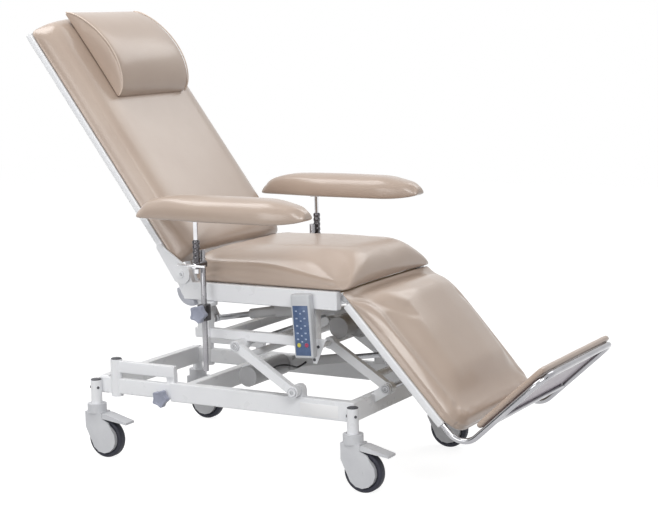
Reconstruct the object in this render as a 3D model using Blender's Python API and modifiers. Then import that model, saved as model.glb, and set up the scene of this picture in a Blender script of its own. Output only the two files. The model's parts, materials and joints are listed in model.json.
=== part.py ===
"""Dialysis chair: a powered reclining treatment chair on four braked casters.

Metres, +Z up, +X towards the feet, the floor at Z = 0. Places are written in the chair's own
frame, whose X = 0 is midway between the casters; the empty "chair" shifts all of it so that the
world origin lies under the middle of the whole chair.
"""
import math
from dataclasses import dataclass

import bmesh
import bpy
from mathutils import Matrix, Vector

# Gaps between pieces
SEAT_GAP = 0.0003
RUN_GAP = 0.0005
WELD = 0.0006
ORIGIN_X = -0.1907

# Base frame
WHEELBASE = 0.94
TRACK = 0.58
STEM_R = 0.018
STEM_TOP = 0.249
RAIL_TOP = 0.262
RAIL_H = 0.060
RAIL_W = 0.030
RAIL_INSET = 0.025
SLEEVE_X = -0.190
MID_BEAM_X = -0.130
EXTENSION_H = 0.050
POST_X = -0.405
POST_R = 0.0195
POST_TOP = 0.318
LOOP_BAR_H = 0.038
EXTENSION_INSET = 0.004
TUBE_ROUND = 0.003

# Casters
WHEEL_R = 0.0625
TYRE_W = 0.030
TYRE_DEPTH = 0.016
AXLE_R = 0.006
TRAIL = 0.037
FORK_TOP = 0.148
COLLAR_TOP = 0.173
COLLAR_R = 0.031
CHEEK = 0.006
WHEEL_ROOM = 0.003
COVER_R = 0.047
COVER_RISE = 0.035
BROW_DROP = 0.021
BROW_FALL = 0.032
BROW_X = 0.020
COLLAR_SINK = 0.004
AXLE_PROUD = 0.001
SLOT_ROOM = 0.004
HUB_INSET = 0.002
TYRE_SHOULDER = 0.008
TYRE_CHAMFER = 0.007
PEDAL_REACH = 0.128
PEDAL_W = 0.045
PEDAL_TOP = 0.004
PEDAL_ROOT = 0.020
PEDAL_FALL = 0.012
PEDAL_TIP = 0.007
PEDAL_FLAT = 0.012

# Lift linkage: two pairs of parallel arms
ARM_LENGTH = 0.233
ARM_RISE_DEG = 31.9
ARM_BAR_H = 0.028
ARM_BAR_W = 0.022
EYE_R = 0.019
PIN_R = 0.008
PIN_HEAD_R = 0.0125
PIN_HEAD_T = 0.004
REAR_PIVOT_X = 0.274
FRONT_PIVOT_X = 0.508
PIVOT_Z = 0.281
FRONT_ARM_Y = 0.130
REAR_ARM_GAP = 0.004
ARM_BAR_INSET = 0.001
LUG_T = 0.010
LUG_EYE_R = 0.017
FRONT_LUG_ROOT_R = 0.013
REAR_TIE_SHARE = 0.80
FRONT_TIE_SHARE = 0.26
ARM_TIE_R = 0.011
ARM_TIE_LAP = 0.010
SHAFT_LAP = 0.001

# Lift frame and seat frame
BEAM_Y = 0.250
BEAM_W = 0.025
BEAM_TOP = 0.444
BEAM_H = 0.031
BEAM_REAR = -0.100
BEAM_FRONT = 0.335
BEAM_TIE_X = (0.000, 0.200)
BEAM_TIE_W = 0.026
BEAM_TIE_LIFT = 0.002
UPRIGHT_X = (-0.082, 0.300)
UPRIGHT_L = 0.040
UPRIGHT_SINK = 0.026
UPRIGHT_LAP = 0.012
SEAT_TOP = 0.591
SEAT_RAIL_H = 0.056
SEAT_RAIL_W = 0.030
SEAT_WIDTH = 0.580
SEAT_REAR = -0.120
SEAT_FRONT = 0.423
SEAT_TIE_X = (0.060, 0.265)
SEAT_TIE_H = 0.030
SEAT_TIE_W = 0.030
TIE_LAP = 0.010
BOARD_T = 0.012
SEAT_BOARD_REAR = 0.020
SEAT_BOARD_FRONT = 0.030

# Cushions
CUSHION_REVEAL = 0.002
SEAT_PAD_REAR = -0.083
SEAT_PAD_FRONT = 0.457
SEAT_PAD_T_REAR = 0.088
SEAT_CORNER_DROP = 0.30
SEAT_PAD_T_FRONT = 0.106
BACK_PAD_T = 0.082
LEG_PAD_T = 0.094
SIDE_PULL = 0.016
SEAT_FRONT_PULL = 0.010
PILLOW_PULL = 0.006
BACK_TOP_BOW = 0.028

# Backrest, in its own frame: X runs down the back to the hinge
BACK_HINGE_X = -0.122
BACK_HINGE_Z = 0.614
BACK_INCLINE_DEG = 53.4
BACK_LENGTH = 0.930
BACK_START = 0.050
BACK_RAIL_H = 0.022
BACK_RAIL_W = 0.030
BACK_RAIL_DROP = 0.005
FRAME_REVEAL = 0.002
BACK_TIE_LOW = 0.025
BACK_TIE_MID = 0.480
BACK_TIE_HIGH = 0.030
FRAME_TIE_W = 0.024
BACK_BOARD_TOP = 0.012
BACK_BOARD_LOW = 0.008
STRAP_FROM = 0.060
STRAP_TO = 0.010
STRAP_LAP = 0.002
HINGE_PLATE_T = 0.006
HINGE_PLATE_R = 0.033
HINGE_EAR_R = 0.026
HINGE_EAR_INSET = 0.010
HINGE_EAR_X = 0.020
HINGE_EAR_DROP = 0.028
HEAD_PAD_OVER = 0.010
HEAD_PAD_L = 0.332
HEAD_PAD_W = 0.370
HEAD_PAD_T = 0.086

# Leg rest, in its own frame: X runs down the leg from the hinge
LEG_HINGE_X = 0.437
LEG_HINGE_Z = 0.570
LEG_DROP_DEG = 47.3
LEG_LENGTH = 0.469
LEG_START = 0.022
LEG_RAIL_H = 0.024
LEG_RAIL_W = 0.030
LEG_PAD_START = 0.026
LEG_PAD_OVER = 0.048
LEG_TIE_HINGE = 0.060
LEG_TIE_DRIVE = 0.205
LEG_TIE_END = 0.029
LEG_BOARD_END = 0.006
LEG_EAR_T = 0.008
LEG_EAR_R = 0.016
LEG_EAR_END_R = 0.010
LEG_EAR_INSET = 0.007
LEG_EAR_LAP = 0.001
LEG_EAR_X = 0.030
LEG_EAR_Z = 0.024
FOOT_TUBE_R = 0.009
FOOT_REACH = 0.090
FOOT_SOCKET_ROOM = 0.010
FOOT_HEIGHT = 0.344
FOOT_BEND = 0.060
FOOT_TOP_BEND = 0.055
FOOT_GRIP = 0.155
FOOT_BAR_Z = 0.125
FOOT_BAR_R = 0.006
FOOT_PAD_T = 0.026
FOOT_PAD_LOW = 0.070
FOOT_PANEL_T = 0.004
FOOT_PANEL_ROOM = 0.003
FOOT_PANEL_LIFT = 0.006

# Armrests
POLE_X = -0.016
POLE_STANDOFF = 0.040
POLE_R = 0.0085
POLE_LOW = 0.325
POLE_TOP = 0.700
CLAMP_LOW = 0.480
CLAMP_L = 0.030
CLAMP_WALL = 0.017
BORE_PAST = 0.010
KNUCKLE_LOW = 0.640
KNUCKLE_TOP = 0.672
KNUCKLE_IN = 0.015
KNUCKLE_WALL = 0.014
LEVER_R = 0.004
SLEEVE_R = 0.0115
SLEEVE_TOP = 0.735
LEVER_OUT = 0.0145
LEVER_REAR = 0.061
LEVER_FRONT = 0.040
STEM_PAST = 0.008
ARM_STEM_R = 0.008
FLANGE_R = 0.026
FLANGE_T = 0.004
FLANGE_LAP = 0.001
ARM_PAD_LOW = 0.795
ARM_PAD_T = 0.072
ARM_PAD_REAR = -0.217
ARM_PAD_FRONT = 0.377
ARM_PAD_W = 0.136
ARM_PAD_OUT = 0.033
KNOB_R = 0.028
KNOB_T = 0.020
KNOB_STEM_R = 0.005
KNOB_LOBES = 5
KNOB_POLE_GAP = 0.001
ARM_KNOB_NECK = 0.004
BASE_KNOB_SINK = 0.006
BASE_KNOB_NECK = 0.010
BASE_KNOB_X = -0.216
BASE_KNOB_Z = 0.212

# Linear actuators: plane in Y, rear pivot, front pivot
LIFT_DRIVE_Y = 0.045
LIFT_DRIVE_REAR = (-0.085, 0.262)
BACK_DRIVE_Y = -0.160
BACK_DRIVE_REAR = (0.250, 0.515)
BACK_LEVER = (0.1456, -0.0707)
LEG_DRIVE_Y = -0.030
LEG_DRIVE_REAR = (0.245, 0.452)
LEG_LUG = (0.205, -0.034)
DRIVE_EYE_R = 0.012
DRIVE_EYE_W = 0.020
DRIVE_LUG_T = 0.006
LIFT_LUG_DROP = 0.016
GEAR_H = 0.044
GEAR_NOSE = 0.010
GEAR_WALL = 0.004
ROD_STROKE = 0.140
ROD_BORE_START = 0.030
ROD_BORE_PAST = 0.010
LIFT_MOTOR_RISE = 0.0
BACK_MOTOR_RISE = -0.004
LEG_MOTOR_RISE = 0.012
LEVER_ROOT_R = 0.010
DRIVE_TUBE_R = 0.016
DRIVE_ROD_R = 0.009
MOTOR_R = 0.033
LIFT_MOTOR_L = 0.210
BACK_MOTOR_L = 0.080
LEG_MOTOR_L = 0.076

# Control box and handset
BOX_AT = (0.075, 0.030)
BOX_SIZE = (0.150, 0.130, 0.0437)
HANDSET_X = 0.280
HANDSET_DROP = 0.203
HANDSET_SIZE = (0.065, 0.028, 0.192)
HANDSET_LEAN_DEG = -3.7
KEY_R = 0.0065
KEY_Z = 0.040
KEY_PROUD = 0.0015
KEY_TRAVEL_ROOM = 0.0012
CABLE_R = 0.003
CABLE_START = (0.100, 0.050)
CABLE_END_Y = 0.010
CABLE_BOW = 0.070
POCKET_PAST = 0.010


@dataclass
class Frame:
    """An empty on a joint's axis, and the chair place that its local zero stands for."""
    empty: object
    at: Vector


def clear_scene():
    for item in list(bpy.data.objects):
        bpy.data.objects.remove(item, do_unlink=True)


def new_collection(name):
    group = bpy.data.collections.new(name)
    bpy.context.scene.collection.children.link(group)
    return group


def paint(name, colour, roughness, metallic=0.0):
    """Principled material of one finish."""
    material = bpy.data.materials.new(name)
    material.use_nodes = True
    shader = material.node_tree.nodes["Principled BSDF"]
    shader.inputs["Base Color"].default_value = (*colour, 1.0)
    shader.inputs["Roughness"].default_value = roughness
    shader.inputs["Metallic"].default_value = metallic
    return material


def joint_frame(name, at, parent=None, turn_deg=0.0, local=False):
    """Empty at a chair place; with local set, what hangs on it is written from its own zero."""
    empty = bpy.data.objects.new(name, None)
    parts.objects.link(empty)
    place = Vector(at)
    if parent:
        empty.parent = parent.empty
        empty.location = place - parent.at
    else:
        empty.location = place
    empty.rotation_euler = (0.0, math.radians(turn_deg), 0.0)
    return Frame(empty, Vector() if local else place)


def tool(mesh_maker):
    """Object in the cutters collection that holds a closed primitive."""
    mesh = bpy.data.meshes.new("shape")
    mesh_maker.to_mesh(mesh)
    mesh_maker.free()
    shape = bpy.data.objects.new("shape", mesh)
    cutters.objects.link(shape)
    shape.hide_render = True
    shape.display_type = "WIRE"
    return shape


def box(low, high, rounded=0.0):
    shape = bmesh.new()
    bmesh.ops.create_cube(shape, size=1.0)
    size = [b - a for a, b in zip(low, high)]
    middle = [(a + b) / 2 for a, b in zip(low, high)]
    bmesh.ops.scale(shape, vec=size, verts=shape.verts)
    bmesh.ops.translate(shape, vec=middle, verts=shape.verts)
    if rounded:
        bmesh.ops.bevel(shape, geom=shape.edges[:], offset=rounded, segments=1, affect="EDGES")
    return tool(shape)


def rod(start, end, radius, sides=12):
    """Round bar between two points."""
    axis = Vector(end) - Vector(start)
    shape = bmesh.new()
    bmesh.ops.create_cone(shape, cap_ends=True, segments=sides, radius1=radius, radius2=radius,
                          depth=axis.length)
    turn = Vector((0, 0, 1)).rotation_difference(axis).to_matrix().to_4x4()
    middle = (Vector(start) + Vector(end)) / 2
    bmesh.ops.transform(shape, matrix=Matrix.Translation(middle) @ turn, verts=shape.verts)
    return tool(shape)


def across(x, z, low_y, high_y, radius, sides=12):
    """Round bar along Y."""
    return rod((x, low_y, z), (x, high_y, z), radius, sides)


def mesh_from_curve(curve, turn):
    """Closed mesh of a curve object, turned into place; the curve is removed."""
    source = bpy.data.objects.new("outline", curve)
    cutters.objects.link(source)
    bpy.context.view_layer.update()
    seen = source.evaluated_get(bpy.context.evaluated_depsgraph_get())
    mesh = bpy.data.meshes.new_from_object(seen)
    bpy.data.objects.remove(source, do_unlink=True)
    bpy.data.curves.remove(curve)
    shape = bmesh.new()
    shape.from_mesh(mesh)
    bpy.data.meshes.remove(mesh)
    bmesh.ops.remove_doubles(shape, verts=shape.verts, dist=0.00001)
    bmesh.ops.transform(shape, matrix=turn, verts=shape.verts)
    bmesh.ops.recalc_face_normals(shape, faces=shape.faces)
    return tool(shape)


def outline_curve(points, thickness):
    curve = bpy.data.curves.new("outline", "CURVE")
    curve.dimensions = "2D"
    curve.fill_mode = "BOTH"
    curve.extrude = thickness / 2
    spline = curve.splines.new("POLY")
    spline.points.add(len(points) - 1)
    for point, (x, y) in zip(spline.points, points):
        point.co = (x, y, 0.0, 1.0)
    spline.use_cyclic_u = True
    return curve


def side_plate(points, low_y, high_y):
    """Plate whose outline is written in X and Z, between two places in Y."""
    stand = Matrix.Translation((0, (low_y + high_y) / 2, 0)) @ Matrix.Rotation(math.pi / 2, 4, "X")
    return mesh_from_curve(outline_curve(points, high_y - low_y), stand)


def front_plate(points, low_x, high_x):
    """Plate whose outline is written in Y and Z, between two places in X."""
    stand = Matrix(((0, 0, 1, (low_x + high_x) / 2), (1, 0, 0, 0), (0, 1, 0, 0), (0, 0, 0, 1)))
    return mesh_from_curve(outline_curve(points, high_x - low_x), stand)


def pipe(points, radius, sides_level=3):
    """Round tube along points, with filled ends."""
    curve = bpy.data.curves.new("pipe", "CURVE")
    curve.dimensions = "3D"
    curve.bevel_depth = radius
    curve.bevel_resolution = sides_level
    curve.use_fill_caps = True
    spline = curve.splines.new("POLY")
    spline.points.add(len(points) - 1)
    for point, place in zip(spline.points, points):
        point.co = (*place, 1.0)
    return mesh_from_curve(curve, Matrix.Identity(4))


def arc(centre, radius, start_deg, end_deg, steps):
    """Points of an arc in a plane, ends included."""
    points = []
    for step in range(steps + 1):
        angle = math.radians(start_deg + (end_deg - start_deg) * step / steps)
        points.append((centre[0] + radius * math.cos(angle), centre[1] + radius * math.sin(angle)))
    return points


def eased_path(start, start_pull, end_pull, end, steps):
    """Points of one cubic curve between two places."""
    points = []
    for step in range(steps + 1):
        t = step / steps
        rest = 1 - t
        pulls = start_pull * 3 * rest * rest * t + end_pull * 3 * rest * t * t
        points.append(start * rest ** 3 + pulls + end * t ** 3)
    return points


def link_outline(start, end, radius, end_radius=None, steps=5):
    """Bar with round ends between two points in X and Z."""
    far_radius = radius if end_radius is None else end_radius
    way = math.degrees(math.atan2(end[1] - start[1], end[0] - start[0]))
    return (arc(start, radius, way + 90, way + 270, steps)
            + arc(end, far_radius, way - 90, way + 90, steps))


def fuse(name, frame, material, pieces, cuts=()):
    """One named sub-part: pieces joined, then cut, hung on a joint's empty."""
    first, *others = pieces
    cutters.objects.unlink(first)
    parts.objects.link(first)
    first.name = name
    first.data.name = name
    first.hide_render = False
    first.display_type = "TEXTURED"
    for shape in (first, *others, *cuts):
        shape.data.transform(Matrix.Translation(-frame.at))
        shape.parent = frame.empty
    for operation, shapes in (("UNION", others), ("DIFFERENCE", cuts)):
        for shape in shapes:
            step = first.modifiers.new(operation.lower(), "BOOLEAN")
            step.operation = operation
            step.object = shape
    first.data.materials.append(material)
    first.data.shade_smooth()
    first.data.set_sharp_from_angle(angle=math.radians(35))
    return first


def both_sides(make):
    """The shapes that make(side) gives for the near side and the far side."""
    shapes = []
    for side in (-1, 1):
        shapes.extend(make(side))
    return shapes


def span(side, inner, outer):
    """Low and high Y of a stretch between two distances from the middle."""
    return (inner, outer) if side > 0 else (-outer, -inner)


def smooth(value, low, high):
    """0 to 1 ease between two values."""
    share = min(max((value - low) / (high - low), 0.0), 1.0)
    return share * share * (3 - 2 * share)


def cushion(name, frame, material, size, rows, shape, turn=Matrix.Identity(4)):
    """Soft form: a box cut in rows, each point moved by shape(s, t, h), then subdivided.

    s and t run from -1 to 1 along the length and the width, h from 0 to 1 up the side.
    """
    cage = bmesh.new()
    bmesh.ops.create_cube(cage, size=2.0)
    for axis, places in enumerate(rows):
        normal = [0.0, 0.0, 0.0]
        normal[axis] = 1.0
        for place in places:
            geometry = cage.verts[:] + cage.edges[:] + cage.faces[:]
            point = [value * place for value in normal]
            bmesh.ops.bisect_plane(cage, geom=geometry, plane_co=point, plane_no=normal)
    for vert in cage.verts:
        s, t, h = vert.co.x, vert.co.y, (vert.co.z + 1) / 2
        vert.co = turn @ Vector(shape(s, t, h, size))
    body = tool(cage)
    fuse(name, frame, material, [body])
    soften = body.modifiers.new("soft form", "SUBSURF")
    soften.levels = 1
    soften.render_levels = 1
    return body


def drawn_in(share, height, pull):
    """How far a cushion's side is pulled in: most between the corners, and above its base."""
    return pull * (1 - share ** 4) * 0.5 + pull * math.sin(math.pi * min(height, 0.9) / 1.8)


clear_scene()
parts = new_collection("dialysis_chair")
cutters = new_collection("dialysis_chair_cutters")

white = paint("white_enamel", (0.86, 0.87, 0.88), 0.35)
vinyl = paint("beige_vinyl", (0.52, 0.41, 0.34), 0.42)
chrome = paint("chrome", (0.72, 0.72, 0.73), 0.12, 1.0)
dark_steel = paint("dark_steel", (0.20, 0.20, 0.21), 0.35, 0.9)
steel = paint("zinc_steel", (0.55, 0.55, 0.56), 0.35, 0.9)
grey_plastic = paint("light_grey_plastic", (0.68, 0.69, 0.71), 0.45)
knob_grey = paint("blue_grey_plastic", (0.46, 0.49, 0.57), 0.5)
tyre_dark = paint("tyre_rubber", (0.035, 0.036, 0.05), 0.6)
plywood = paint("sealed_plywood", (0.45, 0.36, 0.27), 0.6)
panel_lilac = paint("lilac_laminate", (0.60, 0.55, 0.60), 0.4)
motor_grey = paint("motor_grey", (0.50, 0.51, 0.53), 0.5)
box_dark = paint("control_box_black", (0.10, 0.10, 0.11), 0.5)
handset_grey = paint("handset_grey", (0.72, 0.73, 0.75), 0.4)
key_yellow = paint("key_yellow", (0.85, 0.74, 0.12), 0.4)
key_red = paint("key_red", (0.75, 0.16, 0.22), 0.4)

chair = joint_frame("chair", (ORIGIN_X, 0, 0))
chair.at = Vector()

RAIL_Y = TRACK / 2 - RAIL_INSET
RAIL_LOW = RAIL_TOP - RAIL_H
RAIL_MID_Z = (RAIL_TOP + RAIL_LOW) / 2
RAIL_OUT = RAIL_Y + RAIL_W / 2
RAIL_IN = RAIL_Y - RAIL_W / 2
FRONT_X = WHEELBASE / 2
BEAM_MID_X = FRONT_X - RAIL_W / 2
REAR_ARM_IN = RAIL_OUT + REAR_ARM_GAP
REAR_ARM_OUT = REAR_ARM_IN + ARM_BAR_W
ARM_VECTOR = (-ARM_LENGTH * math.cos(math.radians(ARM_RISE_DEG)),
              ARM_LENGTH * math.sin(math.radians(ARM_RISE_DEG)))
REAR_TOP_X = REAR_PIVOT_X + ARM_VECTOR[0]
FRONT_TOP_X = FRONT_PIVOT_X + ARM_VECTOR[0]
PIVOT_TOP_Z = PIVOT_Z + ARM_VECTOR[1]
DRIVE_LUG_IN = DRIVE_EYE_W / 2 + RUN_GAP
FRONT_ARM_OUT = FRONT_ARM_Y + ARM_BAR_W / 2
BEAM_LOW = BEAM_TOP - BEAM_H
BEAM_IN = BEAM_Y - BEAM_W / 2
BEAM_OUT = BEAM_Y + BEAM_W / 2
SEAT_OUT = SEAT_WIDTH / 2
SEAT_IN = SEAT_OUT - SEAT_RAIL_W
CUSHION_W = SEAT_WIDTH - 2 * CUSHION_REVEAL
UPRIGHT_IN = min(BEAM_IN, SEAT_IN) + 2 * WELD
UPRIGHT_OUT = max(BEAM_OUT, SEAT_IN + UPRIGHT_LAP) - 2 * WELD
BEAM_TIE_LOW = BEAM_LOW + BEAM_TIE_LIFT
POLE_Y = SEAT_OUT + POLE_STANDOFF
ARM_PAD_Y = POLE_Y + ARM_PAD_OUT
BACK_TIES = (BACK_START + BACK_TIE_LOW, BACK_TIE_MID, BACK_LENGTH - BACK_TIE_HIGH)
HEAD_PAD_TOP = BACK_LENGTH + HEAD_PAD_OVER
LEG_TIES = (LEG_TIE_HINGE, LEG_TIE_DRIVE, LEG_LENGTH - LEG_TIE_END)
LEG_PAD_END = LEG_LENGTH + LEG_PAD_OVER
FOOT_CORNER = LEG_LENGTH + FOOT_REACH
LEG_EAR_FACE = SEAT_IN - LEG_EAR_INSET
BOX_LOW = (*BOX_AT, SEAT_TOP - BOARD_T - SEAT_GAP - BOX_SIZE[2])
HANDSET_Z = SEAT_TOP - HANDSET_DROP
SEAT_LOW = SEAT_TOP - SEAT_RAIL_H
HINGE_PLATE_IN = SEAT_OUT + RUN_GAP
HINGE_PLATE_OUT = HINGE_PLATE_IN + HINGE_PLATE_T
BACK_HINGE = (BACK_HINGE_X, BACK_HINGE_Z)
LEG_HINGE = (LEG_HINGE_X, LEG_HINGE_Z)


def lug_pair(plane_y, start, end, radius, end_radius):
    """Two cheeks, either side of a drive's eye, from a member to the drive's pivot."""
    shapes = []
    for side in (-1, 1):
        low, high = span(side, DRIVE_LUG_IN, DRIVE_LUG_IN + DRIVE_LUG_T)
        cheek = link_outline(start, end, radius, end_radius)
        shapes.append(side_plate(cheek, plane_y + low, plane_y + high))
    return shapes


def stub_pin(side, x, z, inner, outer):
    """Pivot pin along Y, welded in at its inner end, with a head beyond its outer end."""
    return [across(x, z, *span(side, inner, outer + WELD), PIN_R),
            across(x, z, *span(side, outer, outer + PIN_HEAD_T), PIN_HEAD_R)]


# Base frame: side rails, cross beams, rear extensions with their loops, caster stems and lugs
def build_base():
    def rail(side):
        low, high = span(side, RAIL_IN, RAIL_OUT)
        return [box((SLEEVE_X, low, RAIL_LOW), (FRONT_X - WELD, high, RAIL_TOP), TUBE_ROUND)]

    def extension(side):
        low, high = span(side, RAIL_IN + EXTENSION_INSET, RAIL_OUT - EXTENSION_INSET)
        foot = RAIL_MID_Z - EXTENSION_H / 2
        bar_top = POST_TOP - EXTENSION_INSET
        bar_low = bar_top - LOOP_BAR_H
        middle = side * RAIL_Y
        return [
            box((-FRONT_X - WELD, low, foot), (SLEEVE_X + RAIL_W, high, foot + EXTENSION_H), TUBE_ROUND),
            rod((POST_X, middle, RAIL_LOW - EXTENSION_INSET), (POST_X, middle, POST_TOP), POST_R, 16),
            box((POST_X, low + WELD, bar_low), (SLEEVE_X + RAIL_W / 2, high - WELD, bar_top), TUBE_ROUND),
            box((SLEEVE_X - RAIL_W / 2, low + 2 * WELD, RAIL_MID_Z),
                (SLEEVE_X + RAIL_W / 2 - WELD, high - 2 * WELD, bar_low + RAIL_W / 2)),
        ]

    def stems(side):
        foot = COLLAR_TOP + SEAT_GAP
        return [rod((x, side * TRACK / 2, foot), (x, side * TRACK / 2, STEM_TOP), STEM_R, 16)
                for x in (-FRONT_X, FRONT_X)]

    def rear_lug(side):
        low, high = span(side, RAIL_IN + WELD, RAIL_OUT - WELD)
        upright = link_outline((REAR_PIVOT_X, RAIL_MID_Z), (REAR_PIVOT_X, PIVOT_Z), EYE_R)
        return [side_plate(upright, low, high)]

    def front_lug(side):
        low, high = span(side, FRONT_ARM_OUT + RUN_GAP, FRONT_ARM_OUT + RUN_GAP + LUG_T)
        root = (BEAM_MID_X, RAIL_TOP - EYE_R)
        lug = link_outline(root, (FRONT_PIVOT_X, PIVOT_Z), FRONT_LUG_ROOT_R, LUG_EYE_R)
        return [side_plate(lug, low, high)]

    reach = RAIL_Y + WELD
    beams = []
    for x in (-BEAM_MID_X, BEAM_MID_X):
        beams.append(box((x - RAIL_W / 2, -reach, RAIL_LOW + WELD),
                         (x + RAIL_W / 2, reach, RAIL_TOP - WELD), TUBE_ROUND))
    middle = box((MID_BEAM_X - RAIL_W / 2, -reach, RAIL_LOW + 2 * WELD),
                 (MID_BEAM_X + RAIL_W / 2, reach, RAIL_TOP - 2 * WELD), TUBE_ROUND)
    lug_foot = (MID_BEAM_X, LIFT_DRIVE_REAR[1] - LIFT_LUG_DROP)
    drive_lugs = lug_pair(LIFT_DRIVE_Y, lug_foot, LIFT_DRIVE_REAR, DRIVE_EYE_R, DRIVE_EYE_R)
    pin_end = REAR_ARM_OUT + SEAT_GAP
    pins = both_sides(lambda side: stub_pin(side, REAR_PIVOT_X, PIVOT_Z, RAIL_Y, pin_end))
    pieces = [*both_sides(rail), *beams, middle, *both_sides(extension), *both_sides(stems),
              *both_sides(rear_lug), *both_sides(front_lug), *drive_lugs, *pins]
    shaft_bore = across(FRONT_PIVOT_X, PIVOT_Z, -TRACK, TRACK, PIN_R + SEAT_GAP)
    knob_bore = across(BASE_KNOB_X, BASE_KNOB_Z, -TRACK, -RAIL_Y, KNOB_STEM_R + RUN_GAP)
    fuse("base_frame", chair, white, pieces, [shaft_bore, knob_bore])


# Casters: fork with its axle, wheel, tyre and brake pedal
def ring(name, frame, material, profile, centre):
    """Turned ring about Y from a closed profile of radius and half-width points."""
    shape = bmesh.new()
    verts = [shape.verts.new((radius, 0.0, place)) for radius, place in profile]
    for first, second in zip(verts, verts[1:] + verts[:1]):
        shape.edges.new((first, second))
    body = tool(shape)
    turn = Matrix.Translation(centre) @ Matrix.Rotation(math.pi / 2, 4, "X")
    fuse(name, frame, material, [body])
    body.matrix_local = turn
    screw = body.modifiers.new("turn", "SCREW")
    screw.steps = 20
    screw.render_steps = 20
    screw.use_merge_vertices = True
    screw.merge_threshold = 0.00001
    screw.use_normal_flip = True
    return body


def build_caster(corner, x, y):
    swivel = joint_frame(f"caster_swivel_{corner}", (x, y, 0), chair, local=True)
    room = TYRE_W / 2 + WHEEL_ROOM
    outer = room + CHEEK
    head_x = COLLAR_R + WHEEL_ROOM
    hub = (TRAIL, WHEEL_R)
    outline = [(-COLLAR_R, FORK_TOP), (head_x, FORK_TOP), (head_x, FORK_TOP - BROW_DROP),
               (TRAIL + BROW_X, FORK_TOP - BROW_FALL), *arc(hub, COVER_R, 48, -168, 8),
               (-COLLAR_R, WHEEL_R + COVER_RISE)]
    cheeks = side_plate(outline, -outer, outer)
    collar = rod((0, 0, FORK_TOP - COLLAR_SINK), (0, 0, COLLAR_TOP), COLLAR_R, 16)
    axle = across(*hub, -outer - AXLE_PROUD, outer + AXLE_PROUD, AXLE_R)
    slot = across(*hub, -room, room, WHEEL_R + SLOT_ROOM, 20)
    fork = fuse(f"caster_fork_{corner}", swivel, grey_plastic, [cheeks, collar], [slot])
    step = fork.modifiers.new("axle", "BOOLEAN")
    step.operation = "UNION"
    step.object = axle
    axle.parent = swivel.empty

    rim_r = WHEEL_R - TYRE_DEPTH
    bore = AXLE_R + RUN_GAP
    half = TYRE_W / 2
    hub_half = half - HUB_INSET
    wheel_profile = [(rim_r, -hub_half), (rim_r, hub_half), (bore, hub_half), (bore, -hub_half)]
    inner = rim_r + SEAT_GAP
    side_r = WHEEL_R - TYRE_CHAMFER
    tread = half - TYRE_SHOULDER
    tyre_profile = [(inner, half), (inner, -half), (side_r, -half), (WHEEL_R, -tread), (WHEEL_R, tread),
                    (side_r, half)]
    ring(f"caster_wheel_{corner}", swivel, grey_plastic, wheel_profile, (TRAIL, 0, WHEEL_R))
    ring(f"caster_tyre_{corner}", swivel, tyre_dark, tyre_profile, (TRAIL, 0, WHEEL_R))

    root_x = head_x + RUN_GAP
    high = FORK_TOP - PEDAL_TOP
    under = FORK_TOP - PEDAL_ROOT
    tip_low = under - PEDAL_FALL
    pedal_outline = [(root_x, under), (PEDAL_REACH, tip_low), (PEDAL_REACH, tip_low + PEDAL_TIP),
                     (root_x + PEDAL_FLAT, high), (root_x, high)]
    pedal = side_plate(pedal_outline, -PEDAL_W / 2, PEDAL_W / 2)
    pivot = joint_frame(f"brake_pivot_{corner}", (root_x, 0, under), swivel)
    fuse(f"caster_pedal_{corner}", pivot, grey_plastic, [pedal])


# Lift linkage: the two pairs of arms and the pins they turn on
def build_lift():
    rear = joint_frame("rear_lift_pivot", (REAR_PIVOT_X, 0, PIVOT_Z), chair)
    front = joint_frame("front_lift_pivot", (FRONT_PIVOT_X, 0, PIVOT_Z), chair)
    bore_r = PIN_R + RUN_GAP

    def arm(pivot_x, inner, outer, top_inner):
        low = (pivot_x, PIVOT_Z)
        high = (pivot_x + ARM_VECTOR[0], PIVOT_TOP_Z)

        def make(side):
            bar = span(side, inner + ARM_BAR_INSET, outer - ARM_BAR_INSET)
            return [side_plate(link_outline(low, high, ARM_BAR_H / 2), *bar),
                    across(*low, *span(side, inner, outer), EYE_R),
                    across(*high, *span(side, top_inner, outer), EYE_R)]

        return both_sides(make)

    def along(pivot_x, share):
        return pivot_x + ARM_VECTOR[0] * share, PIVOT_Z + ARM_VECTOR[1] * share

    rear_pieces = arm(REAR_PIVOT_X, REAR_ARM_IN, REAR_ARM_OUT, BEAM_OUT + RUN_GAP)
    tie_reach = REAR_ARM_IN + ARM_TIE_LAP
    rear_pieces.append(across(*along(REAR_PIVOT_X, REAR_TIE_SHARE), -tie_reach, tie_reach, ARM_TIE_R))
    bores = [across(*along(REAR_PIVOT_X, share), -TRACK, TRACK, bore_r) for share in (0, 1)]
    fuse("rear_lift_arms", rear, white, rear_pieces, bores)

    inner = FRONT_ARM_Y - ARM_BAR_W / 2
    front_pieces = arm(FRONT_PIVOT_X, inner, FRONT_ARM_OUT, inner)
    tie = along(FRONT_PIVOT_X, FRONT_TIE_SHARE)
    front_pieces.append(across(*tie, -FRONT_ARM_Y, FRONT_ARM_Y, ARM_TIE_R))
    front_pieces += lug_pair(LIFT_DRIVE_Y, tie, along(FRONT_PIVOT_X, 0.5), LEVER_ROOT_R, DRIVE_EYE_R)
    bores = [across(*along(FRONT_PIVOT_X, share), -TRACK, TRACK, bore_r) for share in (0, 1)]
    fuse("front_lift_arms", front, white, front_pieces, bores)

    pin("front_lower_shaft", chair, FRONT_PIVOT_X, PIVOT_Z, FRONT_ARM_OUT + RUN_GAP + LUG_T + SEAT_GAP)
    return rear


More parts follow.
